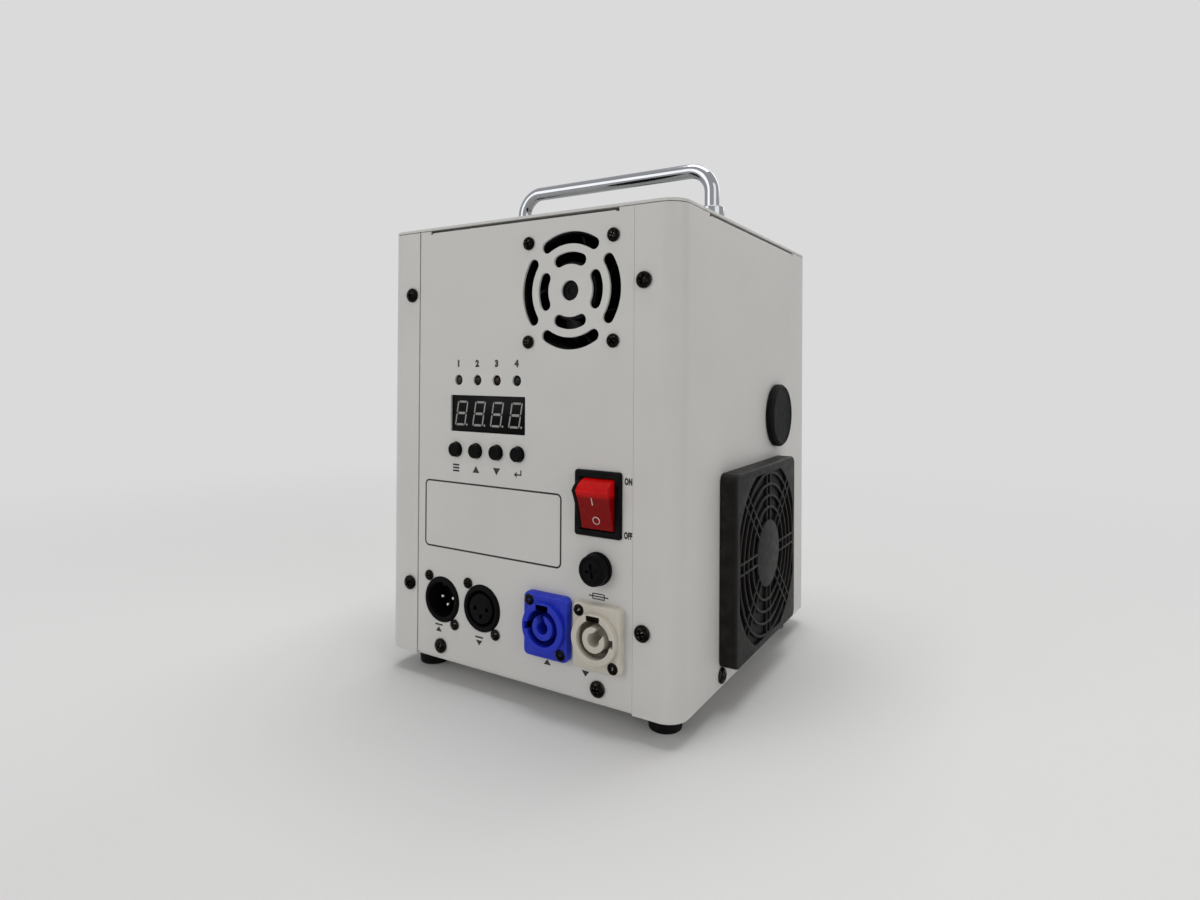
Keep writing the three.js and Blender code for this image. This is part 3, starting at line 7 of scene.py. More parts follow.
import math

import bmesh
import bpy
from bpy.props import FloatProperty, FloatVectorProperty, PointerProperty
from mathutils import Matrix, Vector


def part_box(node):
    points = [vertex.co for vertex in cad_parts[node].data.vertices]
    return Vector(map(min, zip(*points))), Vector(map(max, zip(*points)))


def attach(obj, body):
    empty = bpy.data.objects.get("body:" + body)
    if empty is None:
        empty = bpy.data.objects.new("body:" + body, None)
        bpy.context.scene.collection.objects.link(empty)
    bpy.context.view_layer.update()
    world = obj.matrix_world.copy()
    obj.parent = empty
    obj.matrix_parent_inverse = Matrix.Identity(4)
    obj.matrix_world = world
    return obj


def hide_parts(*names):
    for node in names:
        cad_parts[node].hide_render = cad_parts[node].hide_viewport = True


bl_info = {
    "name": "Cold Spark Machine",
    "version": (1, 0, 0),
    "blender": (4, 5, 0),
    "location": "3D View > Sidebar > Spark Machine",
    "description": "Builds the looks of a cold spark machine, piece by piece",
    "category": "Add Mesh",
}

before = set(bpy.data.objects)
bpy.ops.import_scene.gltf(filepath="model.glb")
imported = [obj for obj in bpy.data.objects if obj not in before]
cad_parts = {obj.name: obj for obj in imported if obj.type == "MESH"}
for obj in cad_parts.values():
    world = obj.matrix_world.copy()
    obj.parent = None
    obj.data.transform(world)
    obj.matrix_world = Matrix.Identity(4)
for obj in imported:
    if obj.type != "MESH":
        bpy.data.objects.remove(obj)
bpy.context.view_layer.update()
MM = 0.001

# The case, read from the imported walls
WALL_LOW, WALL_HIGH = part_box("shell_wrap")
CENTRE_X = (WALL_LOW.x + WALL_HIGH.x) / 2
PANEL_Y = WALL_LOW.y
WIDTH = (WALL_HIGH.x - WALL_LOW.x) / MM
DEPTH = (WALL_HIGH.y - WALL_LOW.y) / MM
HALF = WIDTH / 2
WALL_BOTTOM = WALL_LOW.z / MM
WALL_TOP = WALL_HIGH.z / MM
LID_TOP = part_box("top_lid")[1].z / MM

# Faces to build on: x runs along the face, y is the height above the floor, z points out of the case
PANEL = Matrix(((1, 0, 0, CENTRE_X), (0, 0, -1, PANEL_Y), (0, 1, 0, 0), (0, 0, 0, 1)))
FILTER_SIDE = Matrix(((0, 0, 1, WALL_HIGH.x), (1, 0, 0, PANEL_Y), (0, 1, 0, 0), (0, 0, 0, 1)))
PLAIN_SIDE = Matrix(((0, 0, -1, WALL_LOW.x), (-1, 0, 0, PANEL_Y), (0, 1, 0, 0), (0, 0, 0, 1)))
# Seen from above: x across the panel, y away from it, z up
ABOVE = Matrix.Translation((CENTRE_X, PANEL_Y, 0))

# The bent sheet, and the seams beside the control panel
SHEET = 1.5
GAP = 0.3
CORNER = 10.5
CORNER_STEPS = 14
SEAM = 69.1
LEFT_SEAM = 0.75
RIGHT_SEAM = 0.1
SHEET_SHARP = 15

# The groove below the lid, with a notch at each end. Ends are measured from the case's corners.
GROOVE_END = 33.0
GROOVE_DROP = 1.2
NOTCH_DROP = 1.8
NOTCH_HALF = 0.9

# The lip behind the groove: a shelf below it, and an upright at the shelf's back
LIP_END = 27.0
LIP_FRONT = 1.3
LIP_BACK = 9.5
LIP_DROP = 4.1
LIP_CLEAR = 0.05
LIP_TOP = 0.1

# Holes in the case. Each ring of fan slots has a radius, and the sweep to both sides of a slot's middle.
FAN_SLOTS = ((26, 32), (16, 24))
FAN_SLOT_WIDTH = 6
QUARTERS = (0, 90, 180, 270)
VENT_HOLE = 43.0
PLUG_HOLE = 16.8
NOZZLE_HOLE = 16.3
HOPPER_HOLE = 24.0

# Small screws round the middle of a fan or of a socket
FAN_SCREW_PITCH = 25.0
SOCKET_SCREWS = ((-9.5, 12.0), (9.5, -12.0))
SCREW_SHARP = 28

# The display's leaning digits
DIGIT_FIRST = (-23.2, -6.6)
DIGIT_PITCH = 12.3
DIGIT_SIZE = (7.4, 13.4)
DIGIT_LEAN = 0.17

# Printed legends
LETTER_THICK = 0.08
LETTER_BOLD = 0.1
LABEL_AT = (-17.2, 92.0)
LABEL_SIZE = (92.5, 37.0)
LABEL_LINE = 0.95

# Arrows at the sockets: node, how far from its middle, and which way they point
SOCKET_ARROWS = (
    ("dmx_in_connector", -2.3, -16.7, 1),
    ("dmx_out_connector", -1.7, -18.1, -1),
    ("power_inlet", -1.3, -19.1, 1),
    ("power_outlet", -8.2, -19.3, -1),
)

# The camera, for an image of this size. Its focal length and axis are in pixels, its place is in metres
# and its turns are in degrees.
IMAGE_WIDTH, IMAGE_HEIGHT = 1200, 900
FOCAL_LENGTH = 708.35
AXIS_X, AXIS_Y = 613.77, 364.92
CAMERA_AT = (0.22595, -0.38167, 0.1717)
CAMERA_YAW, CAMERA_PITCH, CAMERA_ROLL = 30.822, 0.387, 0.34
SENSOR_WIDTH = 36

# Soft lamps: place and side in metres, and watts. They look at the middle of the machine.
LAMPS = {
    "key": ((-0.8, -1.5, 0.7), 1.1, 7.5),
    "fill": ((1.6, -0.5, 0.7), 1.2, 6.0),
    "back": ((0.3, 1.7, 1.3), 1.2, 7.0),
    "over": ((0.0, 0.1, 1.8), 1.2, 17.0),
}
MACHINE_MIDDLE = Vector((0, 0, 0.12))
ROOM_LIGHT = (1.0, 0.985, 0.965, 1)
ROOM_STRENGTH = 0.3
FLOOR_RADIUS = 12


def srgb(text):
    """A colour written as six hex digits, as the linear values that Blender holds."""
    values = [int(text[i : i + 2], 16) / 255 for i in (0, 2, 4)]
    return [v / 12.92 if v <= 0.04045 else ((v + 0.055) / 1.055) ** 2.4 for v in values]


def colour_property(name, text, description):
    return FloatVectorProperty(
        name=name, description=description, subtype="COLOR", size=3, min=0, max=1, default=srgb(text)
    )


def length_property(name, millimetres, description):
    return FloatProperty(
        name=name, description=description, subtype="DISTANCE", unit="LENGTH", min=0, default=millimetres * MM
    )


class SparkMachineColours(bpy.types.PropertyGroup):
    """Colours of the paint and of the moulded parts."""

    paint: colour_property("Case paint", "cccbc8", "Powder coat on the sheet-metal case")
    plastic: colour_property("Black plastic", "0b0b0c", "Moulded black parts")
    cover: colour_property("Filter cover", "191716", "Moulded filter cover")
    rubber: colour_property("Rubber", "0c0c0d", "Feet and plug")
    inlet: colour_property("Power inlet", "1a2db4", "Flange and core of the power inlet")
    outlet: colour_property("Power outlet", "c4beb2", "Flange and core of the power outlet")
    rocker: colour_property("Rocker", "c20b0d", "Rocker of the power switch")
    ink: colour_property("Legends", "0a0a0b", "Printed legends on the panel")
    segment: colour_property("Digit segments", "8a8987", "Segments of the display, unlit")
    floor: colour_property("Floor", "dcdcdc", "Plain studio floor")
    backdrop: colour_property("Backdrop", "dadadb", "Plain studio backdrop, which the floor fades into")


class SparkMachineSizes(bpy.types.PropertyGroup):
    """Finishing sizes that don't change how the machine fits together."""

    sheet_edge: length_property("Sheet edge", 0.25, "Rounding on the edges of the painted sheet")
    print_height: length_property("Print height", 0.03, "How far the printed legends stand off the paint")
    cover_edge: length_property("Cover edge", 1.4, "Rounding round the front of the filter cover")
    handle_radius: length_property("Handle radius", 4.25, "Radius of the handle's rod")
    button_edge: length_property("Button edge", 0.7, "Rounding on the rim of each button")


def colours():
    return bpy.context.scene.spark_machine_colours


def sizes():
    return bpy.context.scene.spark_machine_sizes


# Places


def spot(node, face):
    """Where the middle of a node lies on a face, in millimetres."""
    low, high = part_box(node)
    place = face.inverted() @ ((low + high) / 2)
    return place.x / MM, place.y / MM


def at(face, x, y, z=0.0):
    """A face's own frame moved to a place on it."""
    return face @ Matrix.Translation((x * MM, y * MM, z * MM))


# Outlines


def polar(radius, degrees, x=0.0, y=0.0):
    """A point on a circle."""
    turn = math.radians(degrees)
    return (x + radius * math.cos(turn), y + radius * math.sin(turn))


def arc(x, y, radius, start, end, steps):
    """Points on part of a circle, with the angles in degrees."""
    return [polar(radius, start + (end - start) * i / steps, x, y) for i in range(steps + 1)]


def circle(radius, x=0.0, y=0.0, sides=64):
    return arc(x, y, radius, 0, 360, sides)[:-1]


def oblong(width, height):
    """A rectangle round the origin."""
    x, y = width / 2, height / 2
    return [(-x, -y), (x, -y), (x, y), (-x, y)]


def rounded(width, height, radius, x=0.0, y=0.0, steps=8):
    """A rectangle with round corners."""
    a, b = width / 2 - radius, height / 2 - radius
    corners = [(a, b, 0), (-a, b, 90), (-a, -b, 180), (a, -b, 270)]
    return [p for cx, cy, turn in corners for p in arc(x + cx, y + cy, radius, turn, turn + 90, steps)]


def arc_slot(x, y, radius, width, middle, sweep):
    """A slot along a circle with round ends, which reaches the sweep to both sides of its middle."""
    half, low, high, steps = width / 2, middle - sweep, middle + sweep, 20
    outer = arc(x, y, radius + half, low, high, steps)
    inner = arc(x, y, radius - half, high, low, steps)
    end_cap = arc(*polar(radius, high, x, y), half, high, high + 180, 8)[1:-1]
    start_cap = arc(*polar(radius, low, x, y), half, low + 180, low + 360, 8)[1:-1]
    return outer + end_cap + inner + start_cap


def notched(radius, notches):
    """A circle with square notches, given as (direction in degrees, width, how far out it reaches)."""
    gaps, sides = [], 72
    for direction, width, reach in sorted(notches):
        along = Vector(polar(1, direction))
        across = Vector((-along.y, along.x)) * width / 2
        half = math.degrees(math.asin(width / 2 / radius))
        gaps.append((direction, half, [tuple(along * reach - across), tuple(along * reach + across)]))
    outline = []
    for i, (direction, half, corners) in enumerate(gaps):
        following = gaps[(i + 1) % len(gaps)]
        start = direction + half
        end = following[0] - following[1] + (360 if i == len(gaps) - 1 else 0)
        outline += corners + arc(0, 0, radius, start, end, max(2, round(sides * (end - start) / 360)))
    return outline


def softened(points, radius, steps=4, closed=False):
    """The same line with its corners rounded off, where they aren't nearly straight or folded back."""
    line = []
    count = len(points)
    for i, point in enumerate(points):
        if not closed and i in (0, count - 1):
            line.append(tuple(point))
            continue
        here = Vector(point)
        back, ahead = Vector(points[i - 1]) - here, Vector(points[(i + 1) % count]) - here
        reach = 0.45 * min(back.length, ahead.length)
        back.normalize()
        ahead.normalize()
        between = back.angle(ahead)
        if between > 3.0 or between < 0.1:
            line.append(tuple(point))
            continue
        length = min(radius / math.tan(between / 2), reach)
        bend = length * math.tan(between / 2)
        middle = here + (back + ahead).normalized() * bend / math.sin(between / 2)
        first, last = here + back * length - middle, here + ahead * length - middle
        start = math.atan2(first.y, first.x)
        turn = (math.atan2(last.y, last.x) - start + math.pi) % (2 * math.pi) - math.pi
        line += arc(*middle, bend, math.degrees(start), math.degrees(start + turn), steps)
    return line


def dome(radius, low, high, step):
    """A quarter of an ellipse from the rim up, without its last point on the axis."""
    turns = [math.radians(a) for a in range(0, 90, step)]
    return [(radius * math.cos(t), low + (high - low) * math.sin(t)) for t in turns]


# Solids


def mesh_from(build, clean=True):
    """A mesh from bmesh code. Cleaning joins the points that meet and turns the faces outwards."""
    work = bmesh.new()
    build(work)
    if clean:
        bmesh.ops.remove_doubles(work, verts=work.verts, dist=0.0005)
        bmesh.ops.recalc_face_normals(work, faces=work.faces)
    mesh = bpy.data.meshes.new("shape")
    work.to_mesh(mesh)
    work.free()
    return mesh


def flattened(thing):
    """The finished mesh of a curve, a text or an object with modifiers. The object is removed."""
    bpy.context.scene.collection.objects.link(thing)
    bpy.context.view_layer.update()
    mesh = bpy.data.meshes.new_from_object(thing.evaluated_get(bpy.context.evaluated_depsgraph_get()))
    bpy.data.objects.remove(thing)
    return mesh


def plate(outline, low, high, holes=(), edge=0.2, steps=1):
    """A flat plate with holes, from low to high along z, with its edges rounded."""
    curve = bpy.data.curves.new("plate", "CURVE")
    curve.dimensions = "2D"
    curve.fill_mode = "BOTH"
    curve.extrude = (high - low) / 2 - edge
    curve.bevel_depth = edge
    curve.bevel_resolution = steps
    curve.offset = -edge
    for ring in [outline, *holes]:
        spline = curve.splines.new("POLY")
        spline.points.add(len(ring) - 1)
        for point, (x, y) in zip(spline.points, ring):
            point.co = (x, y, 0, 1)
        spline.use_cyclic_u = True
    mesh = flattened(bpy.data.objects.new("plate", curve))
    mesh.transform(Matrix.Translation((0, 0, (low + high) / 2)))
    return mesh_from(lambda work: work.from_mesh(mesh))


def join_rings(work, rings):
    """Faces between rings of points. A ring of a single point is a tip."""
    for below, above in zip(rings, rings[1:]):
        count = max(len(below), len(above))
        for i in range(count):
            j = (i + 1) % count
            corners = [ring[k % len(ring)] for ring, k in ((below, i), (below, j), (above, j), (above, i))]
            face = [v for k, v in enumerate(corners) if v not in corners[:k]]
            if len(face) > 2:
                work.faces.new(face)


def turned(profile, sides, ring=False):
    """A body turned round z from (radius, z) points. With ring, its last point joins its first."""

    def build(work):
        rings = []
        for radius, z in profile:
            outline = circle(radius, sides=sides) if radius > 1e-6 else [(0, 0)]
            rings.append([work.verts.new((x, y, z)) for x, y in outline])
        join_rings(work, rings + ([rings[0]] if ring else []))

    return mesh_from(build)


def drum(radius, low, high, sides):
    """A plain round body along z."""
    return turned([(0, low), (radius, low), (radius, high), (0, high)], sides)


def lofted(rings):
    """A closed body through rings of points, which all have one count."""

    def build(work):
        rows = [[work.verts.new(point) for point in ring] for ring in rings]
        join_rings(work, rows)
        work.faces.new(rows[0][::-1])
        work.faces.new(rows[-1])

    return mesh_from(build)


def stacked(sections):
    """A closed body through flat outlines, each given with its z."""
    return lofted([[(x, y, z) for x, y in outline] for outline, z in sections])


def crowned(width, height, corner, low, high, edge, steps):
    """A slab with round corners, whose front edge is rounded off."""
    rows = [(rounded(width, height, corner), low)]
    for x, y in arc(0, 0, edge, 0, 90, steps):
        inset = edge - x
        rows.append((rounded(width - 2 * inset, height - 2 * inset, corner - inset), high - edge + y))
    return stacked(rows)


def tube(points, radius, sides):
    """A round rod along points."""
    line = [Vector(p) for p in points]
    side = None
    rings = []
    for i, point in enumerate(line):
        ahead = (line[min(i + 1, len(line) - 1)] - line[max(i - 1, 0)]).normalized()
        if side is None:
            side = ahead.orthogonal().normalized()
        side = (side - ahead * side.dot(ahead)).normalized()
        other = ahead.cross(side)
        rings.append([point + side * x + other * y for x, y in circle(radius, sides=sides)])
    return lofted(rings)


def block(x0, x1, y0, y1, z0, z1, edge=0.2):
    """A box with rounded edges."""

    def build(work):
        made = bmesh.ops.create_cube(work, size=1)
        for v in made["verts"]:
            v.co = (x1 if v.co.x > 0 else x0, y1 if v.co.y > 0 else y0, z1 if v.co.z > 0 else z0)
        if edge:
            bmesh.ops.bevel(work, geom=list(work.edges), offset=edge, segments=2, affect="EDGES", profile=0.5)

    return mesh_from(build)


def merged(*meshes):
    """Several meshes as one."""
    return mesh_from(lambda work: [work.from_mesh(mesh) for mesh in meshes], clean=False)


def carved(mesh, *cutters):
    """A mesh with other bodies cut out of it."""
    body = bpy.data.objects.new("body", mesh)
    tools = []
    for cutter in cutters:
        tool = bpy.data.objects.new("tool", cutter)
        bpy.context.scene.collection.objects.link(tool)
        tools.append(tool)
        cut = body.modifiers.new("cut", "BOOLEAN")
        cut.object = tool
        cut.operation = "DIFFERENCE"
        cut.solver = "EXACT"
    result = flattened(body)
    for tool in tools:
        bpy.data.objects.remove(tool)
    return result


def moved(mesh, x=0.0, y=0.0, z=0.0, turn=0.0, axis="Z"):
    """A copy of a mesh, turned and then moved."""
    copy = mesh.copy()
    copy.transform(Matrix.Translation((x, y, z)) @ Matrix.Rotation(math.radians(turn), 4, axis))
    return copy


def lettering(text, tall, wide=None):
    """Plain letters centred on the origin, as tall and, where told, as wide as given."""
    curve = bpy.data.curves.new("letters", "FONT")
    curve.body = text
    curve.size = tall * 1.42
    curve.extrude = LETTER_THICK / 2
    curve.offset = LETTER_BOLD * tall
    curve.space_character = 1.1
    mesh = flattened(bpy.data.objects.new("letters", curve))
    low = [min(v.co[axis] for v in mesh.vertices) for axis in (0, 1)]
    high = [max(v.co[axis] for v in mesh.vertices) for axis in (0, 1)]
    scale = tall / (high[1] - low[1])
    across = wide / (high[0] - low[0]) if wide else scale
    centring = Matrix.Translation((-(low[0] + high[0]) / 2, -(low[1] + high[1]) / 2, 0))
    mesh.transform(Matrix.Diagonal((across, scale, 1, 1)) @ centring)
    return mesh


# Finishes


def feed(tree, node, inputs):
    """Sets a node's inputs. Each takes a value or another node's output."""
    for place, value in inputs.items():
        if isinstance(value, bpy.types.NodeSocket):
            tree.links.new(value, node.inputs[place])
        else:
            node.inputs[place].default_value = value


def add(tree, kind, inputs=None, **settings):
    """A new shader node with its settings and inputs."""
    node = tree.nodes.new(f"ShaderNode{kind}")
    for name, value in settings.items():
        setattr(node, name, value)
    feed(tree, node, inputs or {})
    return node


def maths(tree, operation, first, second):
    return add(tree, "Math", {0: first, 1: second}, operation=operation).outputs[0]


def mixed(tree, factor, first, second):
    """A mix of two colours, which are the mix node's inputs 6 and 7 and its output 2."""
    return add(tree, "Mix", {0: factor, 6: first, 7: second}, data_type="RGBA").outputs[2]


def piece_place(tree):
    """Coordinates that are fixed to the piece."""
    return add(tree, "TexCoord").outputs["Object"]


def noise(tree, scale, detail, stretch=None):
    """A noise pattern fixed to the piece, with its scale in turns a metre."""
    place = piece_place(tree)
    if stretch:
        place = add(tree, "Mapping", {"Vector": place, "Scale": stretch}).outputs["Vector"]
    return add(tree, "TexNoise", {"Vector": place, "Scale": scale, "Detail": detail}).outputs[0]


def ranged(tree, value, low, high, to_low=0.0, to_high=1.0, curve="LINEAR"):
    """A value stretched from one range to another and held inside it."""
    inputs = {"Value": value, "From Min": low, "From Max": high, "To Min": to_low, "To Max": to_high}
    return add(tree, "MapRange", inputs, interpolation_type=curve).outputs["Result"]


def seen_share(tree):
    """One for rays from the eye, off metal and through glass, and nought for those that carry light."""
    path = add(tree, "LightPath").outputs
    seen = maths(tree, "MAXIMUM", path["Is Camera Ray"], path["Is Glossy Ray"])
    return maths(tree, "MAXIMUM", seen, path["Is Transmission Ray"])


def shaded(colour, share=1.0):
    """A colour made darker or lighter by a share, with an alpha."""
    return [min(1.0, max(0.0, c * share)) for c in colour] + [1.0]


def finish(
    name, colour, rough, metal=0.0, drift=0.1, patch=45.0, smudge=0.08, smudge_scale=220.0, grain=2600.0,
    height=0.00004, stretch=None, wear=None, specular=0.5, dust=0.0, extra=None,
):
    """A surface whose colour drifts, whose gloss is uneven and whose skin has a fine grain."""
    known = bpy.data.materials.get(name)
    if known:
        return known
    material = bpy.data.materials.new(name)
    material.use_nodes = True
    material.diffuse_color = shaded(colour)
    tree = material.node_tree
    broad = ranged(tree, noise(tree, patch, 4.0), 0.3, 0.7)
    skin = mixed(tree, broad, shaded(colour, 1 - drift), shaded(colour, 1 + drift))
    if dust:
        settled = ranged(tree, noise(tree, smudge_scale * 0.4, 6.0), 0.45, 0.75, 0.0, dust)
        skin = mixed(tree, settled, skin, shaded(srgb("8c8a86")))
    if wear:
        worn = ranged(tree, add(tree, "NewGeometry").outputs["Pointiness"], 0.52, 0.6)
        rubbed = ranged(tree, noise(tree, 160.0, 5.0), 0.42, 0.62)
        skin = mixed(tree, maths(tree, "MULTIPLY", worn, rubbed), skin, shaded(wear))
    gloss = ranged(tree, noise(tree, smudge_scale, 5.0, stretch), 0.25, 0.75, rough - smudge, rough + smudge)
    grains = noise(tree, grain, 2.0, stretch)
    bump = add(tree, "Bump", {"Strength": 0.6, "Distance": height, "Height": grains})
    feed(tree, tree.nodes["Principled BSDF"], {
        "Base Color": skin, "Metallic": metal, "Roughness": gloss, "Specular IOR Level": specular,
        "Normal": bump.outputs["Normal"],
    })
    if extra:
        extra(tree)
    return material


def white_paint():
    return finish("white_powder_coat", colours().paint, 0.42, drift=0.018, patch=22.0, smudge=0.06,
                  grain=1500.0, height=0.00003, specular=0.3)


def black_plastic():
    return finish("black_moulding", colours().plastic, 0.44, drift=0.16, grain=3200.0, height=0.00003,
                  wear=srgb("18181a"), specular=0.05)


def cover_plastic():
    return finish("charcoal_moulding", colours().cover, 0.5, drift=0.06, grain=2200.0, wear=srgb("2c2b2a"),
                  specular=0.13)


def matt_rubber():
    return finish("matt_black_rubber", colours().rubber, 0.66, drift=0.18, grain=1800.0, height=0.00005,
                  dust=0.01, specular=0.12)


def gloss_plastic():
    return finish("gloss_black_moulding", srgb("040405"), 0.24, drift=0.2, smudge=0.06, grain=600.0,
                  height=0.00001, specular=0.07)


def bright_chrome():
    return finish("bright_chrome", srgb("9ea0a3"), 0.1, metal=1.0, drift=0.05, patch=60.0, smudge=0.035,
                  smudge_scale=300.0, grain=700.0, height=0.0000015)


def screw_steel():
    return finish("dark_nickel", srgb("141311"), 0.28, metal=1.0, drift=0.3, patch=400.0, smudge=0.1,
                  smudge_scale=900.0, grain=4200.0, height=0.00001, wear=srgb("6b665f"))


def pin_steel():
    return finish("pin_nickel", srgb("c9c6bd"), 0.22, metal=1.0, drift=0.08, patch=500.0, grain=3000.0,
                  height=0.00001)


def inner_steel():
    return finish("brushed_steel", srgb("a2a4a8"), 0.36, metal=0.9, drift=0.1, patch=90.0, smudge=0.1,
                  smudge_scale=300.0, grain=1800.0, height=0.00002, stretch=(1.0, 1.0, 0.08),
                  wear=srgb("d0d1d4"))


def inner_aluminium():
    return finish("brushed_aluminium", srgb("b9bbbd"), 0.4, metal=0.9, drift=0.06, patch=70.0,
                  smudge_scale=260.0, grain=2200.0, height=0.00002, stretch=(0.08, 1.0, 1.0))


def blue_plastic():
    return finish("royal_blue_moulding", colours().inlet, 0.4, drift=0.08, height=0.00002,
                  wear=srgb("4054d4"), specular=0.25)


def grey_plastic():
    return finish("warm_grey_moulding", colours().outlet, 0.42, drift=0.04, height=0.00002,
                  wear=srgb("d6d1c8"), specular=0.35)


def red_plastic():
    """Translucent red, with painted shade darkening its lower part, where less light gets in."""

    def paint_lower_shade(tree):
        shader = tree.nodes["Principled BSDF"]
        height = add(tree, "SeparateXYZ", {0: piece_place(tree)}).outputs["Z"]
        middle = spot("switch_housing", PANEL)[1] * MM
        # Painted shade: below this band the red is mixed into a darker copy of itself, for the lower face
        # that gets less light.
        lit = ranged(tree, height, middle + 0.0032, middle + 0.0056)
        skin = shader.inputs["Base Color"].links[0].from_socket
        feed(tree, shader, {
            "Base Color": mixed(tree, lit, shaded(colours().rocker, 0.4), skin), "Subsurface Weight": 0.35,
            "Subsurface Radius": (1.0, 0.12, 0.1), "Subsurface Scale": 0.002,
        })

    return finish("red_translucent", colours().rocker, 0.26, drift=0.12, patch=70.0, smudge=0.05, grain=700.0,
                  height=0.00001, specular=0.12, extra=paint_lower_shade)


def ink():
    return finish("printed_ink", colours().ink, 0.5, drift=0.2, patch=300.0, grain=4000.0, height=0.00001)


def white_ink():
    return finish("white_ink", srgb("d9d4d2"), 0.5, drift=0.06, patch=300.0, grain=4000.0, height=0.00001)


def display_glass():
    return finish("smoked_display_face", srgb("080707"), 0.3, drift=0.2, smudge=0.06, grain=500.0,
                  height=0.000006, specular=0.06)


def segment_grey():
    return finish("unlit_segment", colours().segment, 0.4, drift=0.05, patch=300.0, grain=3000.0,
                  height=0.00001)


def lamp_lens(name, text):
    return finish(name, srgb(text), 0.24, drift=0.15, patch=500.0, smudge=0.05, grain=900.0, height=0.00001,
                  specular=0.2)


def filter_foam():
    """Open-cell foam: dark pits between thin walls."""

    def pit(tree):
        inputs = {"Vector": piece_place(tree), "Scale": 750.0}
        cells = add(tree, "TexVoronoi", inputs, feature="DISTANCE_TO_EDGE")
        bump = tree.nodes["Bump"]
        bump.invert = True
        feed(tree, bump, {"Distance": 0.0004, "Height": cells.outputs["Distance"]})

    return finish("open_cell_foam", srgb("131314"), 0.9, drift=0.3, patch=260.0, grain=900.0, height=0.0002,
                  extra=pit)


def circuit_green():
    """Solder resist over a faint pattern of tracks."""
    green = srgb("1c5230")

    def lay_tracks(tree):
        tracks = add(tree, "TexBrick", {
            "Vector": piece_place(tree), "Scale": 160.0, "Mortar Size": 0.05, "Color1": shaded(green),
            "Color2": shaded(srgb("19492b")), "Mortar": shaded(srgb("3d7a4a")),
        })
        feed(tree, tree.nodes["Principled BSDF"], {"Base Color": tracks.outputs["Color"]})

    return finish("circuit_board", green, 0.38, grain=900.0, height=0.00002, extra=lay_tracks)


def fuse_glass():
    def clear(tree):
        feed(tree, tree.nodes["Principled BSDF"], {"Transmission Weight": 0.7})

    return finish("fuse_tube_glass", srgb("dfe6e6"), 0.08, drift=0.03, smudge=0.04, grain=400.0,
                  height=0.000005, extra=clear)


def studio_floor():
    """A pale floor that keeps the machine's shadow and fades into the backdrop further out."""

    def fade(tree):
        reach = add(tree, "VectorMath", {0: piece_place(tree)}, operation="LENGTH").outputs["Value"]
        spread = ranged(tree, reach, 0.2, 1.0, curve="SMOOTHSTEP")
        share = maths(tree, "MULTIPLY", spread, seen_share(tree))
        backdrop = add(tree, "Emission", {"Color": shaded(colours().backdrop)})
        surface = tree.nodes["Principled BSDF"]
        mix = add(tree, "MixShader", {0: share, 1: surface.outputs[0], 2: backdrop.outputs[0]})
        feed(tree, tree.nodes["Material Output"], {"Surface": mix.outputs[0]})

    return finish("studio_floor", colours().floor, 0.75, drift=0.01, patch=2.0, grain=60.0, height=0.0002,
                  specular=0.2, extra=fade)


# Pieces


def piece(name, face, mesh, material, slot, replaces=None, body="housing", sharp=32.0, even=False):
    """Puts a drawn mesh on its face, gives it its finish and lets it ride on a body of the model."""
    mesh.name = name
    mesh.transform(face @ Matrix.Scale(MM, 4))
    mesh.update()
    for polygon in mesh.polygons:
        polygon.use_smooth = True
    mesh.set_sharp_from_angle(angle=math.radians(sharp))
    mesh.materials.clear()
    mesh.materials.append(material)
    thing = bpy.data.objects.new(name, mesh)
    bpy.context.scene.collection.objects.link(thing)
    if even:
        normals = thing.modifiers.new("even shading", "WEIGHTED_NORMAL")
        normals.keep_sharp = True
        normals.weight = 70
    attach(thing, body)
    if replaces:
        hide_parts(replaces)
    return thing


def stand_in(node, name, face, mesh, material, slot, lift=0.0, **options):
    """A piece that stands for a node and sits at its place on a face."""
    return piece(name, at(face, *spot(node, face), lift), mesh, material, slot, replaces=node, **options)


def dress(material, *nodes):
    """Gives nodes of the model their finish."""
    for node in nodes:
        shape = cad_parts[node].data
        shape.materials.clear()
        shape.materials.append(material)


def corner_run(radius, start_y):
    """The three walls and four corners in plan, from the right seam round the back to the left seam."""
    near, far = CORNER, DEPTH - CORNER
    side = HALF - CORNER
    line = [(SEAM + GAP / 2, start_y)]
    for x, y, turn in ((side, near, -90), (side, far, 0), (-side, far, 90), (-side, near, 180)):
        line += arc(x, y, radius, turn, turn + 90, CORNER_STEPS)
    return line + [(-SEAM - GAP / 2, start_y)]


def groove_cutters(length):
    """What the groove under the lid takes from a wall drawn along x."""
    half = length / 2 - GROOVE_END
    notches = [(x - NOTCH_HALF, x + NOTCH_HALF, NOTCH_DROP) for x in (-half, half)]
    spans = [(-half, half, GROOVE_DROP), *notches]
    return [block(low, high, -5, 5, WALL_TOP - drop, WALL_TOP + 5, edge=0) for low, high, drop in spans]


def wall_lip(length):
    """The part of a wall that turns in below its groove and closes it further in, drawn along x."""
    half = length / 2 - LIP_END
    shelf = WALL_TOP - LIP_DROP
    upright = shelf + SHEET + LIP_CLEAR
    return merged(block(-half, half, LIP_FRONT, LIP_BACK, shelf, shelf + SHEET),
                  block(-half, half, LIP_BACK - SHEET, LIP_BACK, upright, WALL_TOP - LIP_TOP))


def side_hole(node, radius, sides):
    """What a round hole at a node's place takes from the right wall."""
    return moved(moved(drum(radius, -9, 9, sides), turn=90, axis="Y"), HALF, *spot(node, FILTER_SIDE))


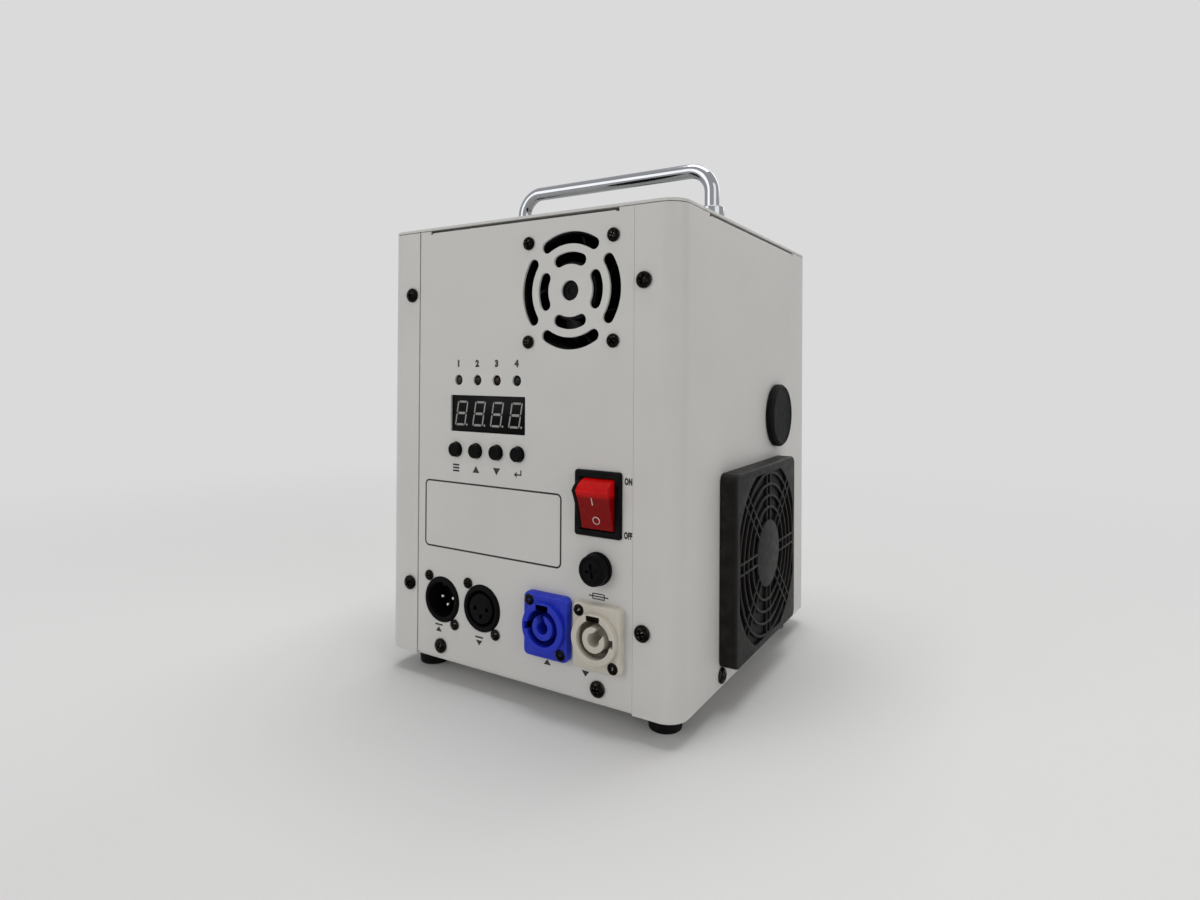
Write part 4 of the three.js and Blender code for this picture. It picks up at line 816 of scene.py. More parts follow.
def case_shell():
    outline = corner_run(CORNER, 0.0) + corner_run(CORNER - SHEET, SHEET)[::-1]
    wrap = plate(outline, WALL_BOTTOM, WALL_TOP, edge=sizes().sheet_edge / MM)
    walls = [(DEPTH, HALF, DEPTH / 2, 90), (DEPTH, -HALF, DEPTH / 2, -90), (WIDTH, 0, DEPTH, 180)]
    grooves = [moved(c, x, y, 0, turn) for length, x, y, turn in walls for c in groove_cutters(length)]
    lips = [moved(wall_lip(length), x, y, 0, turn) for length, x, y, turn in walls]
    holes = [side_hole("filter_cover", VENT_HOLE, 96), side_hole("side_plug", PLUG_HOLE, 64)]
    return merged(carved(wrap, *grooves, *holes), *lips)


def panel_holes():
    def round_hole(node, radius, sides):
        return circle(radius, *spot(node, PANEL), sides)

    def square_hole(node, width, height):
        return rounded(width, height, 0.4, *spot(node, PANEL), steps=3)

    fan = spot("rear_fan_frame", PANEL)
    slots = [(radius, turn, sweep) for radius, sweep in FAN_SLOTS for turn in QUARTERS]
    holes = [arc_slot(*fan, radius, FAN_SLOT_WIDTH, turn, sweep) for radius, turn, sweep in slots]
    holes.append(round_hole("rear_fan_frame", 5, 40))
    holes += [round_hole(f"indicator_{i}", 2.8, 32) for i in range(1, 5)]
    holes += [round_hole(f"button_{i}", 4.1, 40) for i in range(1, 5)]
    holes += [square_hole("display_module", 50.9, 19.6), square_hole("switch_housing", 23.6, 29.1)]
    holes.append(round_hole("fuse_holder", 6.3, 40))
    holes += [round_hole(f"dmx_{way}_connector", 12.4, 72) for way in ("in", "out")]
    holes += [round_hole(f"power_{way}let", 11.9, 64) for way in ("in", "out")]
    return holes


def control_plate():
    """The plate between the flanges, with a strip behind each seam. Its left seam is the wider one."""
    low, top = WALL_BOTTOM + SHEET + GAP, WALL_TOP
    notch, deep, ledge = HALF - GROOVE_END, WALL_TOP - NOTCH_DROP, WALL_TOP - GROOVE_DROP
    outer, inner = notch + NOTCH_HALF, notch - NOTCH_HALF
    corners = [(outer, top), (outer, deep), (inner, deep), (inner, ledge)]
    right, left = (SEAM + GAP / 2 - seam for seam in (RIGHT_SEAM, LEFT_SEAM))
    mirrored = [(-x, y) for x, y in reversed(corners)]
    outline = [(right, low), (right, top), *corners, *mirrored, (-left, top), (-left, low)]
    sheet = plate(outline, -SHEET, 0, panel_holes(), edge=sizes().sheet_edge / MM)
    rim = moved(wall_lip(WIDTH), turn=-90, axis="X")
    near, far = 67.6, 82.4
    strips = [block(*span, low, top - 1, -3.3, -1.8) for span in ((-far, -near), (near, far))]
    return merged(sheet, rim, *strips)


def lid_plate():
    outline = rounded(WIDTH, DEPTH, CORNER, 0, DEPTH / 2, steps=CORNER_STEPS)
    openings = (("spark_nozzle", NOZZLE_HOLE), ("hopper_cap", HOPPER_HOLE))
    holes = [circle(radius, *spot(node, ABOVE), 72) for node, radius in openings]
    return plate(outline, LID_TOP - SHEET, LID_TOP, holes, edge=sizes().sheet_edge / MM)


def pan_screw(radius, height, turn):
    """A pan-head screw on z = 0 with a short shank and a cross recess that narrows as it goes down."""
    profile = [(0, -2.5), (0.45 * radius, -2.5), (0.45 * radius, 0), (0.97 * radius, 0)]
    head = turned(profile + dome(radius, 0.3 * height, height, 9) + [(0, height)], 40)
    wide, long = 0.3 * radius, 1.35 * radius
    floor = oblong(long / 1.8, wide / 1.7)
    bar = stacked([(floor, 0.08 * height), (oblong(long, wide), height + 0.4)])
    return moved(carved(head, bar, moved(bar, turn=90)), turn=turn)


def digit_segments():
    """The seven segments and the point of one digit, from its lower left corner."""
    (wide, tall), thin, thick, gap = DIGIT_SIZE, 0.85, 1.1, 0.2
    mid = tall / 2
    start, end = thin + gap, wide - thin - gap

    def level(y, rise):
        return [(start, y), (end, y), (end - 0.4, y + rise), (start + 0.4, y + rise)]

    def upright(x, low, high):
        a, b = low + gap, high - gap
        inner = [(x + thin, a + 0.55), (x + thin, b - 0.55)]
        return [(x, a + 0.4), (x + thin / 2, a), *inner, (x + thin / 2, b), (x, b - 0.4)]

    centre = [(start - 0.1, mid), (start + 0.6, mid - 0.65), (end - 0.6, mid - 0.65), (end + 0.1, mid),
              (end - 0.6, mid + 0.65), (start + 0.6, mid + 0.65)]
    bars = [level(0, thick), level(tall, -thick), centre]
    bars += [upright(x, low, low + mid) for x in (0, wide - thin) for low in (0, mid)]
    return [[(x + DIGIT_LEAN * y, y) for x, y in bar] for bar in bars] + [circle(0.6, wide + 1.2, 0.6, 16)]


def display_digits():
    x0, y0 = DIGIT_FIRST
    starts = [x0 + DIGIT_PITCH * i for i in range(4)]
    places = [[(start + x, y0 + y) for x, y in outline] for start in starts for outline in digit_segments()]
    return merged(*(plate(outline, -1.06, -0.97, edge=0.02) for outline in places))


def rocker_profile():
    """The rocker seen along its pivot: x is out of the panel and y is up, level, about the pivot."""
    radius, edge, back, dish = 12.3, 38.5, 14.0, 0.8
    upper = arc(0, 0, radius, 90 - edge, 90 + back, 10)
    lower = [(x, -y) for x, y in reversed(upper)]
    top_x, top_y = upper[0]
    levels = [i / 8 - 1 for i in range(1, 16)]
    return upper + lower + [(top_x - dish * (1 - level**2), top_y * level) for level in levels]


def flat_mark(outline, holes=()):
    return plate(outline, -0.03, sizes().print_height / MM, holes, edge=0.005, steps=0)


def stroke(width, height, radius, x, y):
    """A short printed bar."""
    return flat_mark(rounded(width, height, radius, x, y, 2))


def frame_mark(width, height, radius, inner_radius, line, x, y, steps=8):
    """A printed rectangle of one line, with round corners."""
    inside = rounded(width - 2 * line, height - 2 * line, inner_radius, x, y, steps)
    return flat_mark(rounded(width, height, radius, x, y, steps), [inside])


def triangle(x, y, half, back, tip, way):
    """A printed triangle that points up where way is 1, and down where it is -1."""
    return flat_mark([(x - half * way, y - back * way), (x + half * way, y - back * way), (x, y + tip * way)])


def legend_meshes():
    """Numbers over the lamps, signs under the keys, a bare frame, and marks at switch, fuse and sockets."""
    level = sizes().print_height / MM - LETTER_THICK / 2
    marks = []
    for i in range(4):
        x, y = spot(f"indicator_{i + 1}", PANEL)
        marks.append(moved(lettering(str(i + 1), 3.9), x, y + 8.9, level))
    keys = [spot(f"button_{i + 1}", PANEL) for i in range(4)]
    row = keys[0][1] - 9.9
    marks += [stroke(4.6, 0.95, 0.2, keys[0][0], row + dy) for dy in (-1.6, 0, 1.6)]
    marks += [triangle(x, row, 2.4, 1.8, 2.0, way) for (x, y), way in zip(keys[1:3], (1, -1))]
    enter = [(-2.6, -0.6), (-0.7, -2.1), (-0.7, -0.95), (2.3, -0.95), (2.3, 1.9), (1.6, 1.9), (1.6, -0.25),
             (-0.7, -0.25), (-0.7, 0.9)]
    marks.append(flat_mark([(keys[3][0] + x, row + y) for x, y in enter]))
    marks.append(frame_mark(*LABEL_SIZE, 3.0, 2.0, LABEL_LINE, *LABEL_AT))
    x, y = spot("switch_housing", PANEL)
    marks += [moved(lettering("ON", 3.4, 4.2), x + 16.2, y + 11.8, level),
              moved(lettering("OFF", 3.4, 4.4), x + 16.2, y - 13.3, level)]
    x, y = spot("fuse_holder", PANEL)
    fuse_at = (x + 0.4, y - 13.3)
    marks += [frame_mark(7.0, 3.0, 0.4, 0.3, 0.55, *fuse_at, 3), stroke(11, 0.6, 0.1, *fuse_at)]
    for node, dx, dy, way in SOCKET_ARROWS:
        x, y = spot(node, PANEL)
        marks += [triangle(x + dx, y + dy, 2.2, 1.1, 1.7, way), stroke(5.4, 0.9, 0.15, x + dx, y + dy + 2.7)]
    return marks


# Operators


class SPARKMACHINE_OT_stage(bpy.types.Operator):
    """Camera, soft lamps and a plain pale floor"""

    bl_idname = "sparkmachine.stage"
    bl_label = "Stage"

    def execute(self, context):
        scene = context.scene
        scene.camera = self.camera()
        scene.collection.objects.link(scene.camera)
        for name, (place, side, watts) in LAMPS.items():
            scene.collection.objects.link(self.lamp(name, place, side, watts))
        scene.world = self.world()
        disc = mesh_from(
            lambda work: bmesh.ops.create_circle(work, cap_ends=True, segments=128, radius=FLOOR_RADIUS)
        )
        disc.materials.append(studio_floor())
        floor = bpy.data.objects.new("studio_floor", disc)
        scene.collection.objects.link(floor)
        scene.view_settings.view_transform = "Standard"
        return {"FINISHED"}

    def camera(self):
        """The camera of the photograph's view, level but for its small pitch and roll."""
        camera = bpy.data.cameras.new("camera")
        camera.sensor_width = SENSOR_WIDTH
        camera.lens = FOCAL_LENGTH / IMAGE_WIDTH * SENSOR_WIDTH
        camera.shift_x = (IMAGE_WIDTH / 2 - AXIS_X) / IMAGE_WIDTH
        camera.shift_y = (AXIS_Y - IMAGE_HEIGHT / 2) / IMAGE_WIDTH
        camera.clip_start = 0.01
        yaw, pitch, roll = (math.radians(a) for a in (CAMERA_YAW, CAMERA_PITCH, CAMERA_ROLL))
        ahead = Vector((-math.sin(yaw) * math.cos(pitch), math.cos(yaw) * math.cos(pitch), math.sin(pitch)))
        right = Vector((math.cos(yaw), math.sin(yaw), 0))
        up = right.cross(ahead)
        side = math.cos(roll) * right + math.sin(roll) * up
        over = -math.sin(roll) * right + math.cos(roll) * up
        viewer = bpy.data.objects.new("camera", camera)
        turn = Matrix((side, over, -ahead)).transposed().to_4x4()
        viewer.matrix_world = Matrix.Translation(CAMERA_AT) @ turn
        return viewer

    def lamp(self, name, place, side, watts):
        """A soft square lamp that looks at the middle of the machine."""
        light = bpy.data.lights.new(name, "AREA")
        light.size = side
        light.energy = watts
        holder = bpy.data.objects.new(name, light)
        holder.location = place
        holder.rotation_euler = (MACHINE_MIDDLE - Vector(place)).to_track_quat("-Z", "Y").to_euler()
        return holder

    def world(self):
        """A pale backdrop for the eye, for metal and for glass, over an even studio light."""
        world = bpy.data.worlds.new("studio")
        world.use_nodes = True
        tree = world.node_tree
        tree.nodes.clear()
        light = add(tree, "Background", {"Color": ROOM_LIGHT, "Strength": ROOM_STRENGTH})
        seen = add(tree, "Background", {"Color": shaded(colours().backdrop), "Strength": 1.0})
        mix = add(tree, "MixShader", {0: seen_share(tree), 1: light.outputs[0], 2: seen.outputs[0]})
        add(tree, "OutputWorld", {"Surface": mix.outputs[0]})
        return world


class SPARKMACHINE_OT_case(bpy.types.Operator):
    """White shell, control panel, lid and base"""

    bl_idname = "sparkmachine.case"
    bl_label = "Case"

    def execute(self, context):
        paint, sharp = white_paint(), SHEET_SHARP
        piece("case_shell", ABOVE, case_shell(), paint, "white_paint", "shell_wrap", sharp=sharp)
        piece("control_plate", PANEL, control_plate(), paint, "white_paint", "control_panel", sharp=sharp)
        piece("lid_plate", ABOVE, lid_plate(), paint, "white_paint", "top_lid", sharp=sharp)
        dress(paint, "base_plate")
        return {"FINISHED"}


class SPARKMACHINE_OT_feet(bpy.types.Operator):
    """Four rubber feet"""

    bl_idname = "sparkmachine.feet"
    bl_label = "Feet"

    def execute(self, context):
        profile = softened([(0, 4), (4, 4), (4, 0), (8, 0), (9.5, 11.7), (0, 11.7)], 0.8, 3)
        for i in range(1, 5):
            foot = turned(profile, 48)
            stand_in(f"foot_{i}", f"rubber_foot_{i}", ABOVE, foot, matt_rubber(), "black_rubber", sharp=50)
        return {"FINISHED"}


class SPARKMACHINE_OT_handle(bpy.types.Operator):
    """Bent chrome handle and its collars"""

    bl_idname = "sparkmachine.handle"
    bl_label = "Handle"

    def execute(self, context):
        half = spot("handle_collar_right", ABOVE)[0]
        bend, top, low = 14.0, LID_TOP + 38.4, LID_TOP + 0.1
        x, z = half - bend, top - bend
        run = [(half, low), *arc(x, z, bend, 0, 90, 18), *arc(-x, z, bend, 90, 180, 18), (-half, low)]
        rod = tube([(px, 0, pz) for px, pz in run], sizes().handle_radius / MM, 40)
        stand_in("carry_handle", "handle_rod", ABOVE, rod, bright_chrome(), "chrome")
        profile = softened([(4.5, 0), (7.2, 0), (7.2, 15.8), (4.5, 15.8)], 0.9, closed=True)
        for side in ("left", "right"):
            collar = turned(profile, 48, ring=True)
            stand_in(f"handle_collar_{side}", f"rod_collar_{side}", ABOVE, collar, bright_chrome(), "chrome",
                     lift=LID_TOP + 0.05, sharp=60)
        return {"FINISHED"}


class SPARKMACHINE_OT_screws(bpy.types.Operator):
    """Case screws and the small screws of the fan and sockets"""

    bl_idname = "sparkmachine.screws"
    bl_label = "Screws"

    def execute(self, context):
        nodes = [f"strip_screw_{i}" for i in range(1, 5)] + [f"panel_screw_{i}" for i in (1, 2)]
        for i, node in enumerate(nodes):
            self.case_screw(node, PANEL, 37 * i)
        for i in (0, 1):
            self.case_screw(f"side_screw_{i + 1}", FILTER_SIDE, 20 + 50 * i)
            self.case_screw(f"side_screw_{i + 3}", PLAIN_SIDE, 65 - 30 * i)
        signs = (-FAN_SCREW_PITCH, FAN_SCREW_PITCH)
        self.small_screws("fan", "rear_fan_frame", [(x, y) for x in signs for y in signs], 3.4, 1.9, 0, 23)
        for way in ("in", "out"):
            self.small_screws(f"data_{way}", f"dmx_{way}_connector", SOCKET_SCREWS, 2.9, 1.7, 0, 31)
        for way in ("in", "out"):
            self.small_screws(f"power_{way}", f"power_{way}let", SOCKET_SCREWS, 2.8, 1.3, 40, 31, lift=4.0)
        return {"FINISHED"}

    def case_screw(self, node, face, turn):
        screw = pan_screw(4.0, 2.4, turn)
        stand_in(node, f"cross_{node}", face, screw, screw_steel(), "dark_steel", 0.05, sharp=SCREW_SHARP)

    def small_screws(self, name, node, offsets, radius, height, first_turn, turn, lift=0.0):
        """Screws round the middle of a node, each turned on from the one before."""
        x, y = spot(node, PANEL)
        for i, (dx, dy) in enumerate(offsets):
            screw = pan_screw(radius, height, first_turn + turn * i)
            place = at(PANEL, x + dx, y + dy, lift)
            piece(f"{name}_screw_{i + 1}", place, screw, screw_steel(), "dark_steel", sharp=SCREW_SHARP)


class SPARKMACHINE_OT_fans(bpy.types.Operator):
    """The fan behind the panel's slots and the fan behind the filter"""

    bl_idname = "sparkmachine.fans"
    bl_label = "Fans"

    def execute(self, context):
        dress(black_plastic(), "rear_fan_frame", "rear_fan_rotor", "side_fan_frame", "side_fan_rotor")
        return {"FINISHED"}


class SPARKMACHINE_OT_readout(bpy.types.Operator):
    """Lamps, four-digit display and its board"""

    bl_idname = "sparkmachine.readout"
    bl_label = "Lamps and Display"

    def execute(self, context):
        profile = [(0, -9.2), (3, -9.2), (3, -8.2), (2.5, -8.2), *dome(2.5, -2.4, -0.4, 10), (0, -0.4)]
        for i, tint in enumerate(("2b2714", "151310", "241110", "101418"), 1):
            lamp, lens = turned(profile, 32), lamp_lens(f"lamp_lens_{i}", tint)
            stand_in(f"indicator_{i}", f"status_lamp_{i}", PANEL, lamp, lens, "lamp_lens", sharp=50)
        body = block(-25.15, 25.15, -9.5, 9.5, -9.2, -1.0, edge=0.25)
        stand_in("display_module", "display_block", PANEL, body, display_glass(), "display_face")
        place = at(PANEL, *spot("display_module", PANEL))
        piece("display_digits", place, display_digits(), segment_grey(), "grey_plastic")
        dress(circuit_green(), "display_board")
        return {"FINISHED"}


class SPARKMACHINE_OT_buttons(bpy.types.Operator):
    """Four round push buttons"""

    bl_idname = "sparkmachine.buttons"
    bl_label = "Push Buttons"

    def execute(self, context):
        edge = sizes().button_edge / MM
        profile = [(0, -4.9), (3.8, -4.9), (3.8, -2.8), (4.6, -2.8), (4.6, -1.8), (3.8, -1.8)]
        profile += arc(3.8 - edge, 2.6 - edge, edge, 0, 90, 5) + [(2.2, 2.52), (0, 2.45)]
        for i in range(1, 5):
            stand_in(f"button_{i}", f"push_button_{i}", PANEL, turned(profile, 40), gloss_plastic(),
                     "gloss_black", body=f"key_{i}", sharp=50)
        return {"FINISHED"}


class SPARKMACHINE_OT_rocker_switch(bpy.types.Operator):
    """Red rocker switch in its black bezel"""

    bl_idname = "sparkmachine.rocker_switch"
    bl_label = "Rocker Switch"

    def execute(self, context):
        wide, high = 26.0, 31.5
        opening, sleeve_opening = (rounded(wide - 6, high - 6.3, corner, steps=3) for corner in (0.6, 0.5))
        rims = ((0.0, 1.4, 0.0), (0.0, 1.4, 1.0), (0.5, 1.3, 1.5), (1.4, 1.2, 2.0))
        lip = stacked([(rounded(wide - less, high - less, corner, steps=6), z) for less, corner, z in rims])
        sleeve = plate(rounded(wide - 3, high - 3, 0.6, steps=3), -27.0, 0.3, [sleeve_opening])
        floor = block(-11.2, 11.2, -13.9, 13.9, -27.0, -9.2)
        terminals = [(x, y) for x in (-5.75, 5.75) for y in (-7.1, 7.1)]
        blades = [block(x - 0.4, x + 0.4, y - 3.15, y + 3.15, -35, -9) for x, y in terminals]
        housing = merged(carved(lip, stacked([(opening, -30.0), (opening, 5.0)])), sleeve, floor, *blades)
        stand_in("switch_housing", "switch_bezel", PANEL, housing, black_plastic(), "black_plastic")
        tipped = Matrix.Rotation(math.radians(18), 4, "X")
        face = at(PANEL, *spot("switch_housing", PANEL), -1.0) @ tipped
        side_view = softened(rocker_profile(), 0.5, 2, closed=True)
        key = plate(side_view, -9.7, 7.7, edge=0.5, steps=3)
        cheek = plate(side_view, 7.75, 9.7, edge=0.4, steps=3)
        pivot_across = Matrix(((0, 0, -1, 0), (0, 1, 0, 0), (1, 0, 0, 0), (0, 0, 0, 1)))
        for moulding in (key, cheek):
            moulding.transform(pivot_across)
        key = merged(key, moved(drum(1.5, -10.5, 10.5, 24), turn=90, axis="Y"))
        moulded = {"body": "rocker", "sharp": 40, "even": True}
        piece("red_rocker", face, key, red_plastic(), "red_plastic", "switch_rocker", **moulded)
        piece("rocker_cheek", face, cheek, black_plastic(), "black_plastic", **moulded)
        line = rounded(0.35, 3.9, 0.15, steps=2)
        line = moved(stacked([(line, -0.4), (line, 0.06)]), 0.7, 4.6, 7.2)
        ring = plate(circle(1.95, sides=40), -0.5, 0.06, [circle(1.68, sides=40)], edge=0.02)
        marks = merged(line, moved(ring, 1.3, -5.2, 7.29))
        piece("rocker_marks", face, marks, white_ink(), "grey_plastic", body="rocker")
        return {"FINISHED"}


class SPARKMACHINE_OT_fuse(bpy.types.Operator):
    """Fuse holder, its slotted cap and the glass fuse"""

    bl_idname = "sparkmachine.fuse"
    bl_label = "Fuse Holder"

    def execute(self, context):
        flange = [(4.1, -29.5), (4.1, 1.5), (8, 1.5), (8, 0), (6, 0), (6, -31), (4.1, -31)]
        holder = turned(softened(flange, 0.35, 3, closed=True), 48, ring=True)
        nut = plate(circle(8.6, sides=6), -4.8, -1.8, [circle(6.1, sides=32)], edge=0.3)
        stand_in("fuse_holder", "fuse_socket", PANEL, merged(holder, nut), black_plastic(), "black_plastic",
                 sharp=40)
        rim = [(0, -4), (3.7, -4), (3.7, 1.8), (7.4, 1.8), (7.4, 5.5), (6.7, 6.2), (6.3, 6.2), (5.9, 5.7),
               (5.5, 5.7), (5.1, 6.2), (0, 6.2)]
        cap = turned(softened(rim, 0.25, 2), 56)
        slots = [block(-x, x, -y, y, 4.8, 9, edge=0.1) for x, y in ((3.5, 0.65), (0.65, 3.5))]
        stand_in("fuse_cap", "fuse_knob", PANEL, moved(carved(cap, *slots), turn=12), black_plastic(),
                 "black_plastic", body="fuse_knob", sharp=30)
        dress(fuse_glass(), "fuse_tube")
        return {"FINISHED"}


class SPARKMACHINE_OT_data_sockets(bpy.types.Operator):
    """Two round three-pole sockets, one with pins and one with holes"""

    bl_idname = "sparkmachine.data_sockets"
    bl_label = "Data Sockets"

    def execute(self, context):
        poles = [(-4, 0), (4, 0), (0, -4)]
        core = turned(softened([(0, -12.9), (7.9, -12.9), (7.9, 0.9), (0, 0.9)], 0.5, 3), 56)
        drilled = carved(core, *(moved(drum(1.2, -7, 3, 20), x, y) for x, y in poles))
        key = block(-1.3, 1.3, 7.2, 9.6, -12.8, -1.5)
        self.socket("dmx_in_connector", "pin_socket_body", key)
        self.socket("dmx_out_connector", "hole_socket_body", drilled)
        pin = turned(softened([(0, -13), (1.2, -13), (1.2, -4.6), (0.7, -3.9), (0, -3.8)], 0.3, 2), 20)
        pins = merged(*(moved(pin, x, y) for x, y in poles))
        place = at(PANEL, *spot("dmx_in_connector", PANEL))
        piece("socket_pins", place, pins, pin_steel(), "plain_steel", sharp=50)
        return {"FINISHED"}

    def socket(self, node, name, inside):
        """A round shell on its flange, with what is inside it."""
        profile = [(0, -12.7), (9.4, -12.7), (9.4, 0.6), (10.1, 1.3), (11.35, 1.3), (12.15, 0.5),
                   (12.15, -17.7), (0, -17.7)]
        flange = plate(rounded(26, 31, 2), -3.8, -1.8, [circle(12.0)])
        body = merged(turned(softened(profile, 0.25, 2), 72), flange, inside)
        stand_in(node, name, PANEL, body, black_plastic(), "black_plastic", sharp=40)


class SPARKMACHINE_OT_power_sockets(bpy.types.Operator):
    """Blue power inlet and pale grey power outlet"""

    bl_idname = "sparkmachine.power_sockets"
    bl_label = "Power Sockets"

    def execute(self, context):
        inlet, outlet = self.socket(180, 105), self.socket(0, 50)
        stand_in("power_inlet", "inlet_body", PANEL, inlet, blue_plastic(), "blue_plastic", sharp=34)
        stand_in("power_outlet", "outlet_body", PANEL, outlet, grey_plastic(), "grey_plastic", sharp=34)
        return {"FINISHED"}

    def socket(self, side_key, slot_turn):
        """A flange with a rounded edge, a raised ring with key notches and a slotted core."""
        bore_radius, barrel_radius, ring_radius, key_reach = 9.1, 11.7, 12.15, 10.8
        bore = notched(bore_radius, [(90, 6.4, key_reach), (side_key, 3.6, key_reach)])
        flange = carved(crowned(26.4, 31.4, 2.8, 0.02, 4.3, 1.2, 3), stacked([(bore, -9), (bore, 9)]))
        ring = plate(circle(ring_radius, sides=96), 1.0, 7.0, [bore], edge=0.45, steps=3)
        collar = plate(circle(barrel_radius), -8.0, 1.2, [bore], edge=0.1)
        barrel = plate(circle(barrel_radius), -25, -8.05, [circle(bore_radius)], edge=0.1)
        floor = drum(11, -24, -11.5, 48)
        outer, inner, slot = 6.1, 3.2, 2.2
        far, near = (math.degrees(math.asin(slot / radius)) for radius in (outer, inner))
        core_line = arc(0, 0, outer, far, 360 - far, 48) + arc(0, 0, inner, 360 - near, near, 28)
        core = moved(plate(core_line, -12, 6.5, edge=0.35, steps=2), turn=slot_turn)
        return merged(flange, ring, collar, barrel, floor, core, drum(6.0, -12, -3.5, 40))


class SPARKMACHINE_OT_filter(bpy.types.Operator):
    """Filter cover with its grille, the guard behind it and the foam mat"""

    bl_idname = "sparkmachine.filter"
    bl_label = "Filter"

    def execute(self, context):
        stand_in("filter_cover", "grille_cover", FILTER_SIDE, self.cover(), cover_plastic(),
                 "charcoal_plastic", body="cover", sharp=35)
        dress(black_plastic(), "filter_frame")
        mat = plate(rounded(92.7, 92.7, 4.3), 3.8, 7.0, edge=0.6, steps=3)
        foam = stand_in("filter_foam", "foam_mat", FILTER_SIDE, mat, filter_foam(), "black_foam", sharp=60)
        return {"FINISHED"}

    def cover(self):
        """The square frame, cut by a round window, with the hub, rings and paired spokes of its grille."""
        size, high, corner, window_radius, window_half = 97.5, 9.3, 4.5, 49.0, 44.5
        slab = crowned(size, size, corner, 0.3, high, sizes().cover_edge / MM, 4)
        inner = rounded(size - 3.6, size - 3.6, corner - 1.2)
        limit = math.degrees(math.acos(window_half / window_radius))
        window = []
        for turn in QUARTERS:
            window += arc(0, 0, window_radius, turn + limit, turn + 90 - limit, 18)
        shell = carved(slab, stacked([(inner, -5), (inner, high - 2)]), stacked([(window, -9), (window, 20)]))
        bars = [turned(softened([(0, high - 2), (18.2, high - 2), (18.2, high), (0, high)], 0.5, 3), 72)]
        low, top = high - 2.4, high - 0.05
        for radius in (25.2, 31.5, 37.8, 44.1):
            loop = [(radius - 0.7, low), (radius + 0.7, low), (radius + 0.7, top), (radius - 0.7, top)]
            bars.append(turned(softened(loop, 0.4, 3, closed=True), 144, ring=True))
        spoke_ends = (44.7, 48.9)
        for i in range(8):
            for y in (-2.75, 2.75):
                reach = math.sqrt(spoke_ends[i % 2] ** 2 - y**2) + 0.2
                spoke = block(17.0, reach, y - 0.55, y + 0.55, high - 2.0, high - 0.02, edge=0.25)
                bars.append(moved(spoke, turn=45 * i))
        return merged(shell, *bars)


class SPARKMACHINE_OT_plug(bpy.types.Operator):
    """Round plug in the side wall"""

    bl_idname = "sparkmachine.plug"
    bl_label = "Side Plug"

    def execute(self, context):
        profile = [(0, -3), (14.5, -3), (14.5, -6), (16.5, -6), (16.5, 0.3), (18.7, 0.3), (18.7, 3.4),
                   (17.4, 4.8), (16.2, 4.8), (15.4, 4.4), (0, 4.4)]
        stand_in("side_plug", "round_plug", FILTER_SIDE, turned(softened(profile, 0.5, 3), 72), matt_rubber(),
                 "black_rubber", sharp=50)
        return {"FINISHED"}


class SPARKMACHINE_OT_legends(bpy.types.Operator):
    """Printed marks on the control panel"""

    bl_idname = "sparkmachine.legends"
    bl_label = "Legends"

    def execute(self, context):
        piece("panel_legends", PANEL, merged(*legend_meshes()), ink(), "black_plastic")
        return {"FINISHED"}


class SPARKMACHINE_OT_hopper(bpy.types.Operator):
    """Granule hopper, its cap and the screw feed"""

    bl_idname = "sparkmachine.hopper"
    bl_label = "Hopper and Feed"

    def execute(self, context):
        dress(inner_steel(), "hopper", "feed_screw", "gear_motor")
        profile = [(0, -2), (20.2, -2), (20.2, -8), (21.8, -8), (21.8, 0), (26, 0), (26, 5), (9, 5), (7, 8),
                   (0, 8)]
        cap = turned(softened(profile, 0.7), 80)
        stand_in("hopper_cap", "hopper_lid", ABOVE, cap, black_plastic(), "black_plastic", lift=LID_TOP + 2.2,
                 body="cap", sharp=50)
        return {"FINISHED"}


class SPARKMACHINE_OT_spark_path(bpy.types.Operator):
    """Blower, heater and outlet pipe"""

    bl_idname = "sparkmachine.spark_path"
    bl_label = "Heater and Outlet"

    def execute(self, context):
        dress(black_plastic(), "blower_housing", "blower_impeller")
        dress(inner_steel(), "heater_cup")
        low, rest, top = 194.1, LID_TOP + 0.02, LID_TOP + 1.9
        profile = [(14, low), (16, low), (16, rest), (22, rest), (22, top - 0.6), (21.2, top), (16, top),
                   (14, top - 0.9)]
        pipe = turned(softened(profile, 0.3, 3, closed=True), 96, ring=True)
        stand_in("spark_nozzle", "outlet_pipe", ABOVE, pipe, inner_steel(), "plain_steel", sharp=40)
        return {"FINISHED"}


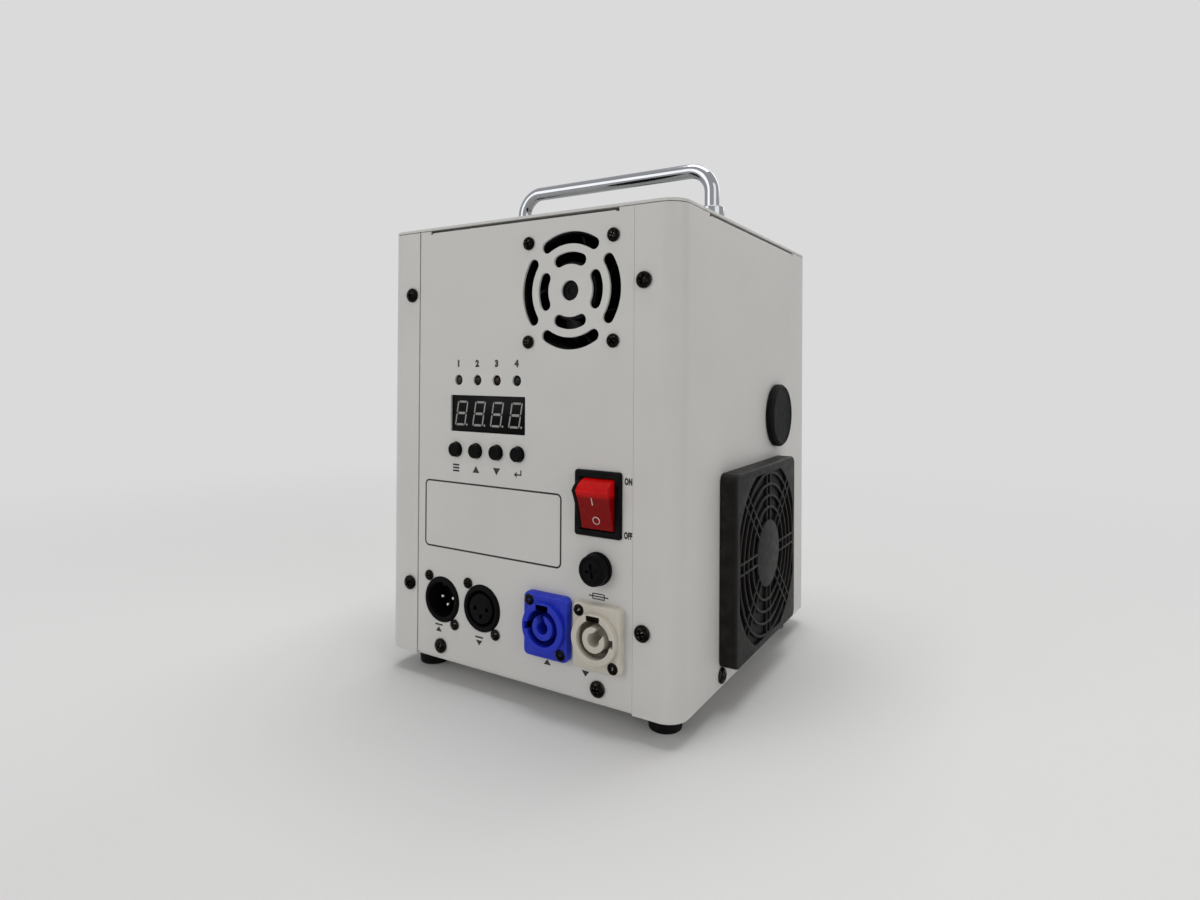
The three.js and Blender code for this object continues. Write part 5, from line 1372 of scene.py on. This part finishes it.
class SPARKMACHINE_OT_inside(bpy.types.Operator):
    """Power supply, driver board and the bracket that carries the heater"""

    bl_idname = "sparkmachine.inside"
    bl_label = "Inner Parts"

    def execute(self, context):
        dress(inner_aluminium(), "power_supply", "inner_bracket")
        dress(circuit_green(), "main_board")
        return {"FINISHED"}


OPERATORS = (
    SPARKMACHINE_OT_stage,
    SPARKMACHINE_OT_case,
    SPARKMACHINE_OT_feet,
    SPARKMACHINE_OT_handle,
    SPARKMACHINE_OT_screws,
    SPARKMACHINE_OT_fans,
    SPARKMACHINE_OT_readout,
    SPARKMACHINE_OT_buttons,
    SPARKMACHINE_OT_rocker_switch,
    SPARKMACHINE_OT_fuse,
    SPARKMACHINE_OT_data_sockets,
    SPARKMACHINE_OT_power_sockets,
    SPARKMACHINE_OT_filter,
    SPARKMACHINE_OT_plug,
    SPARKMACHINE_OT_legends,
    SPARKMACHINE_OT_hopper,
    SPARKMACHINE_OT_spark_path,
    SPARKMACHINE_OT_inside,
)


class SPARKMACHINE_PT_pieces(bpy.types.Panel):
    """Lists the machine's settings and the operator of each piece."""

    bl_label = "Spark Machine"
    bl_idname = "SPARKMACHINE_PT_pieces"
    bl_space_type = "VIEW_3D"
    bl_region_type = "UI"
    bl_category = "Spark Machine"

    def draw(self, context):
        layout = self.layout
        for group in (context.scene.spark_machine_sizes, context.scene.spark_machine_colours):
            box = layout.box()
            for name in group.__annotations__:
                box.prop(group, name)
        column = layout.column(align=True)
        for operator in OPERATORS:
            column.operator(operator.bl_idname)


CLASSES = (SparkMachineColours, SparkMachineSizes, *OPERATORS, SPARKMACHINE_PT_pieces)


def register():
    for item in CLASSES:
        bpy.utils.register_class(item)
    bpy.types.Scene.spark_machine_colours = PointerProperty(type=SparkMachineColours)
    bpy.types.Scene.spark_machine_sizes = PointerProperty(type=SparkMachineSizes)


def unregister():
    del bpy.types.Scene.spark_machine_sizes
    del bpy.types.Scene.spark_machine_colours
    for item in reversed(CLASSES):
        bpy.utils.unregister_class(item)


def main():
    register()
    for operator in OPERATORS:
        group, name = operator.bl_idname.split(".")
        getattr(getattr(bpy.ops, group), name)()


if __name__ == "__main__":
    main()
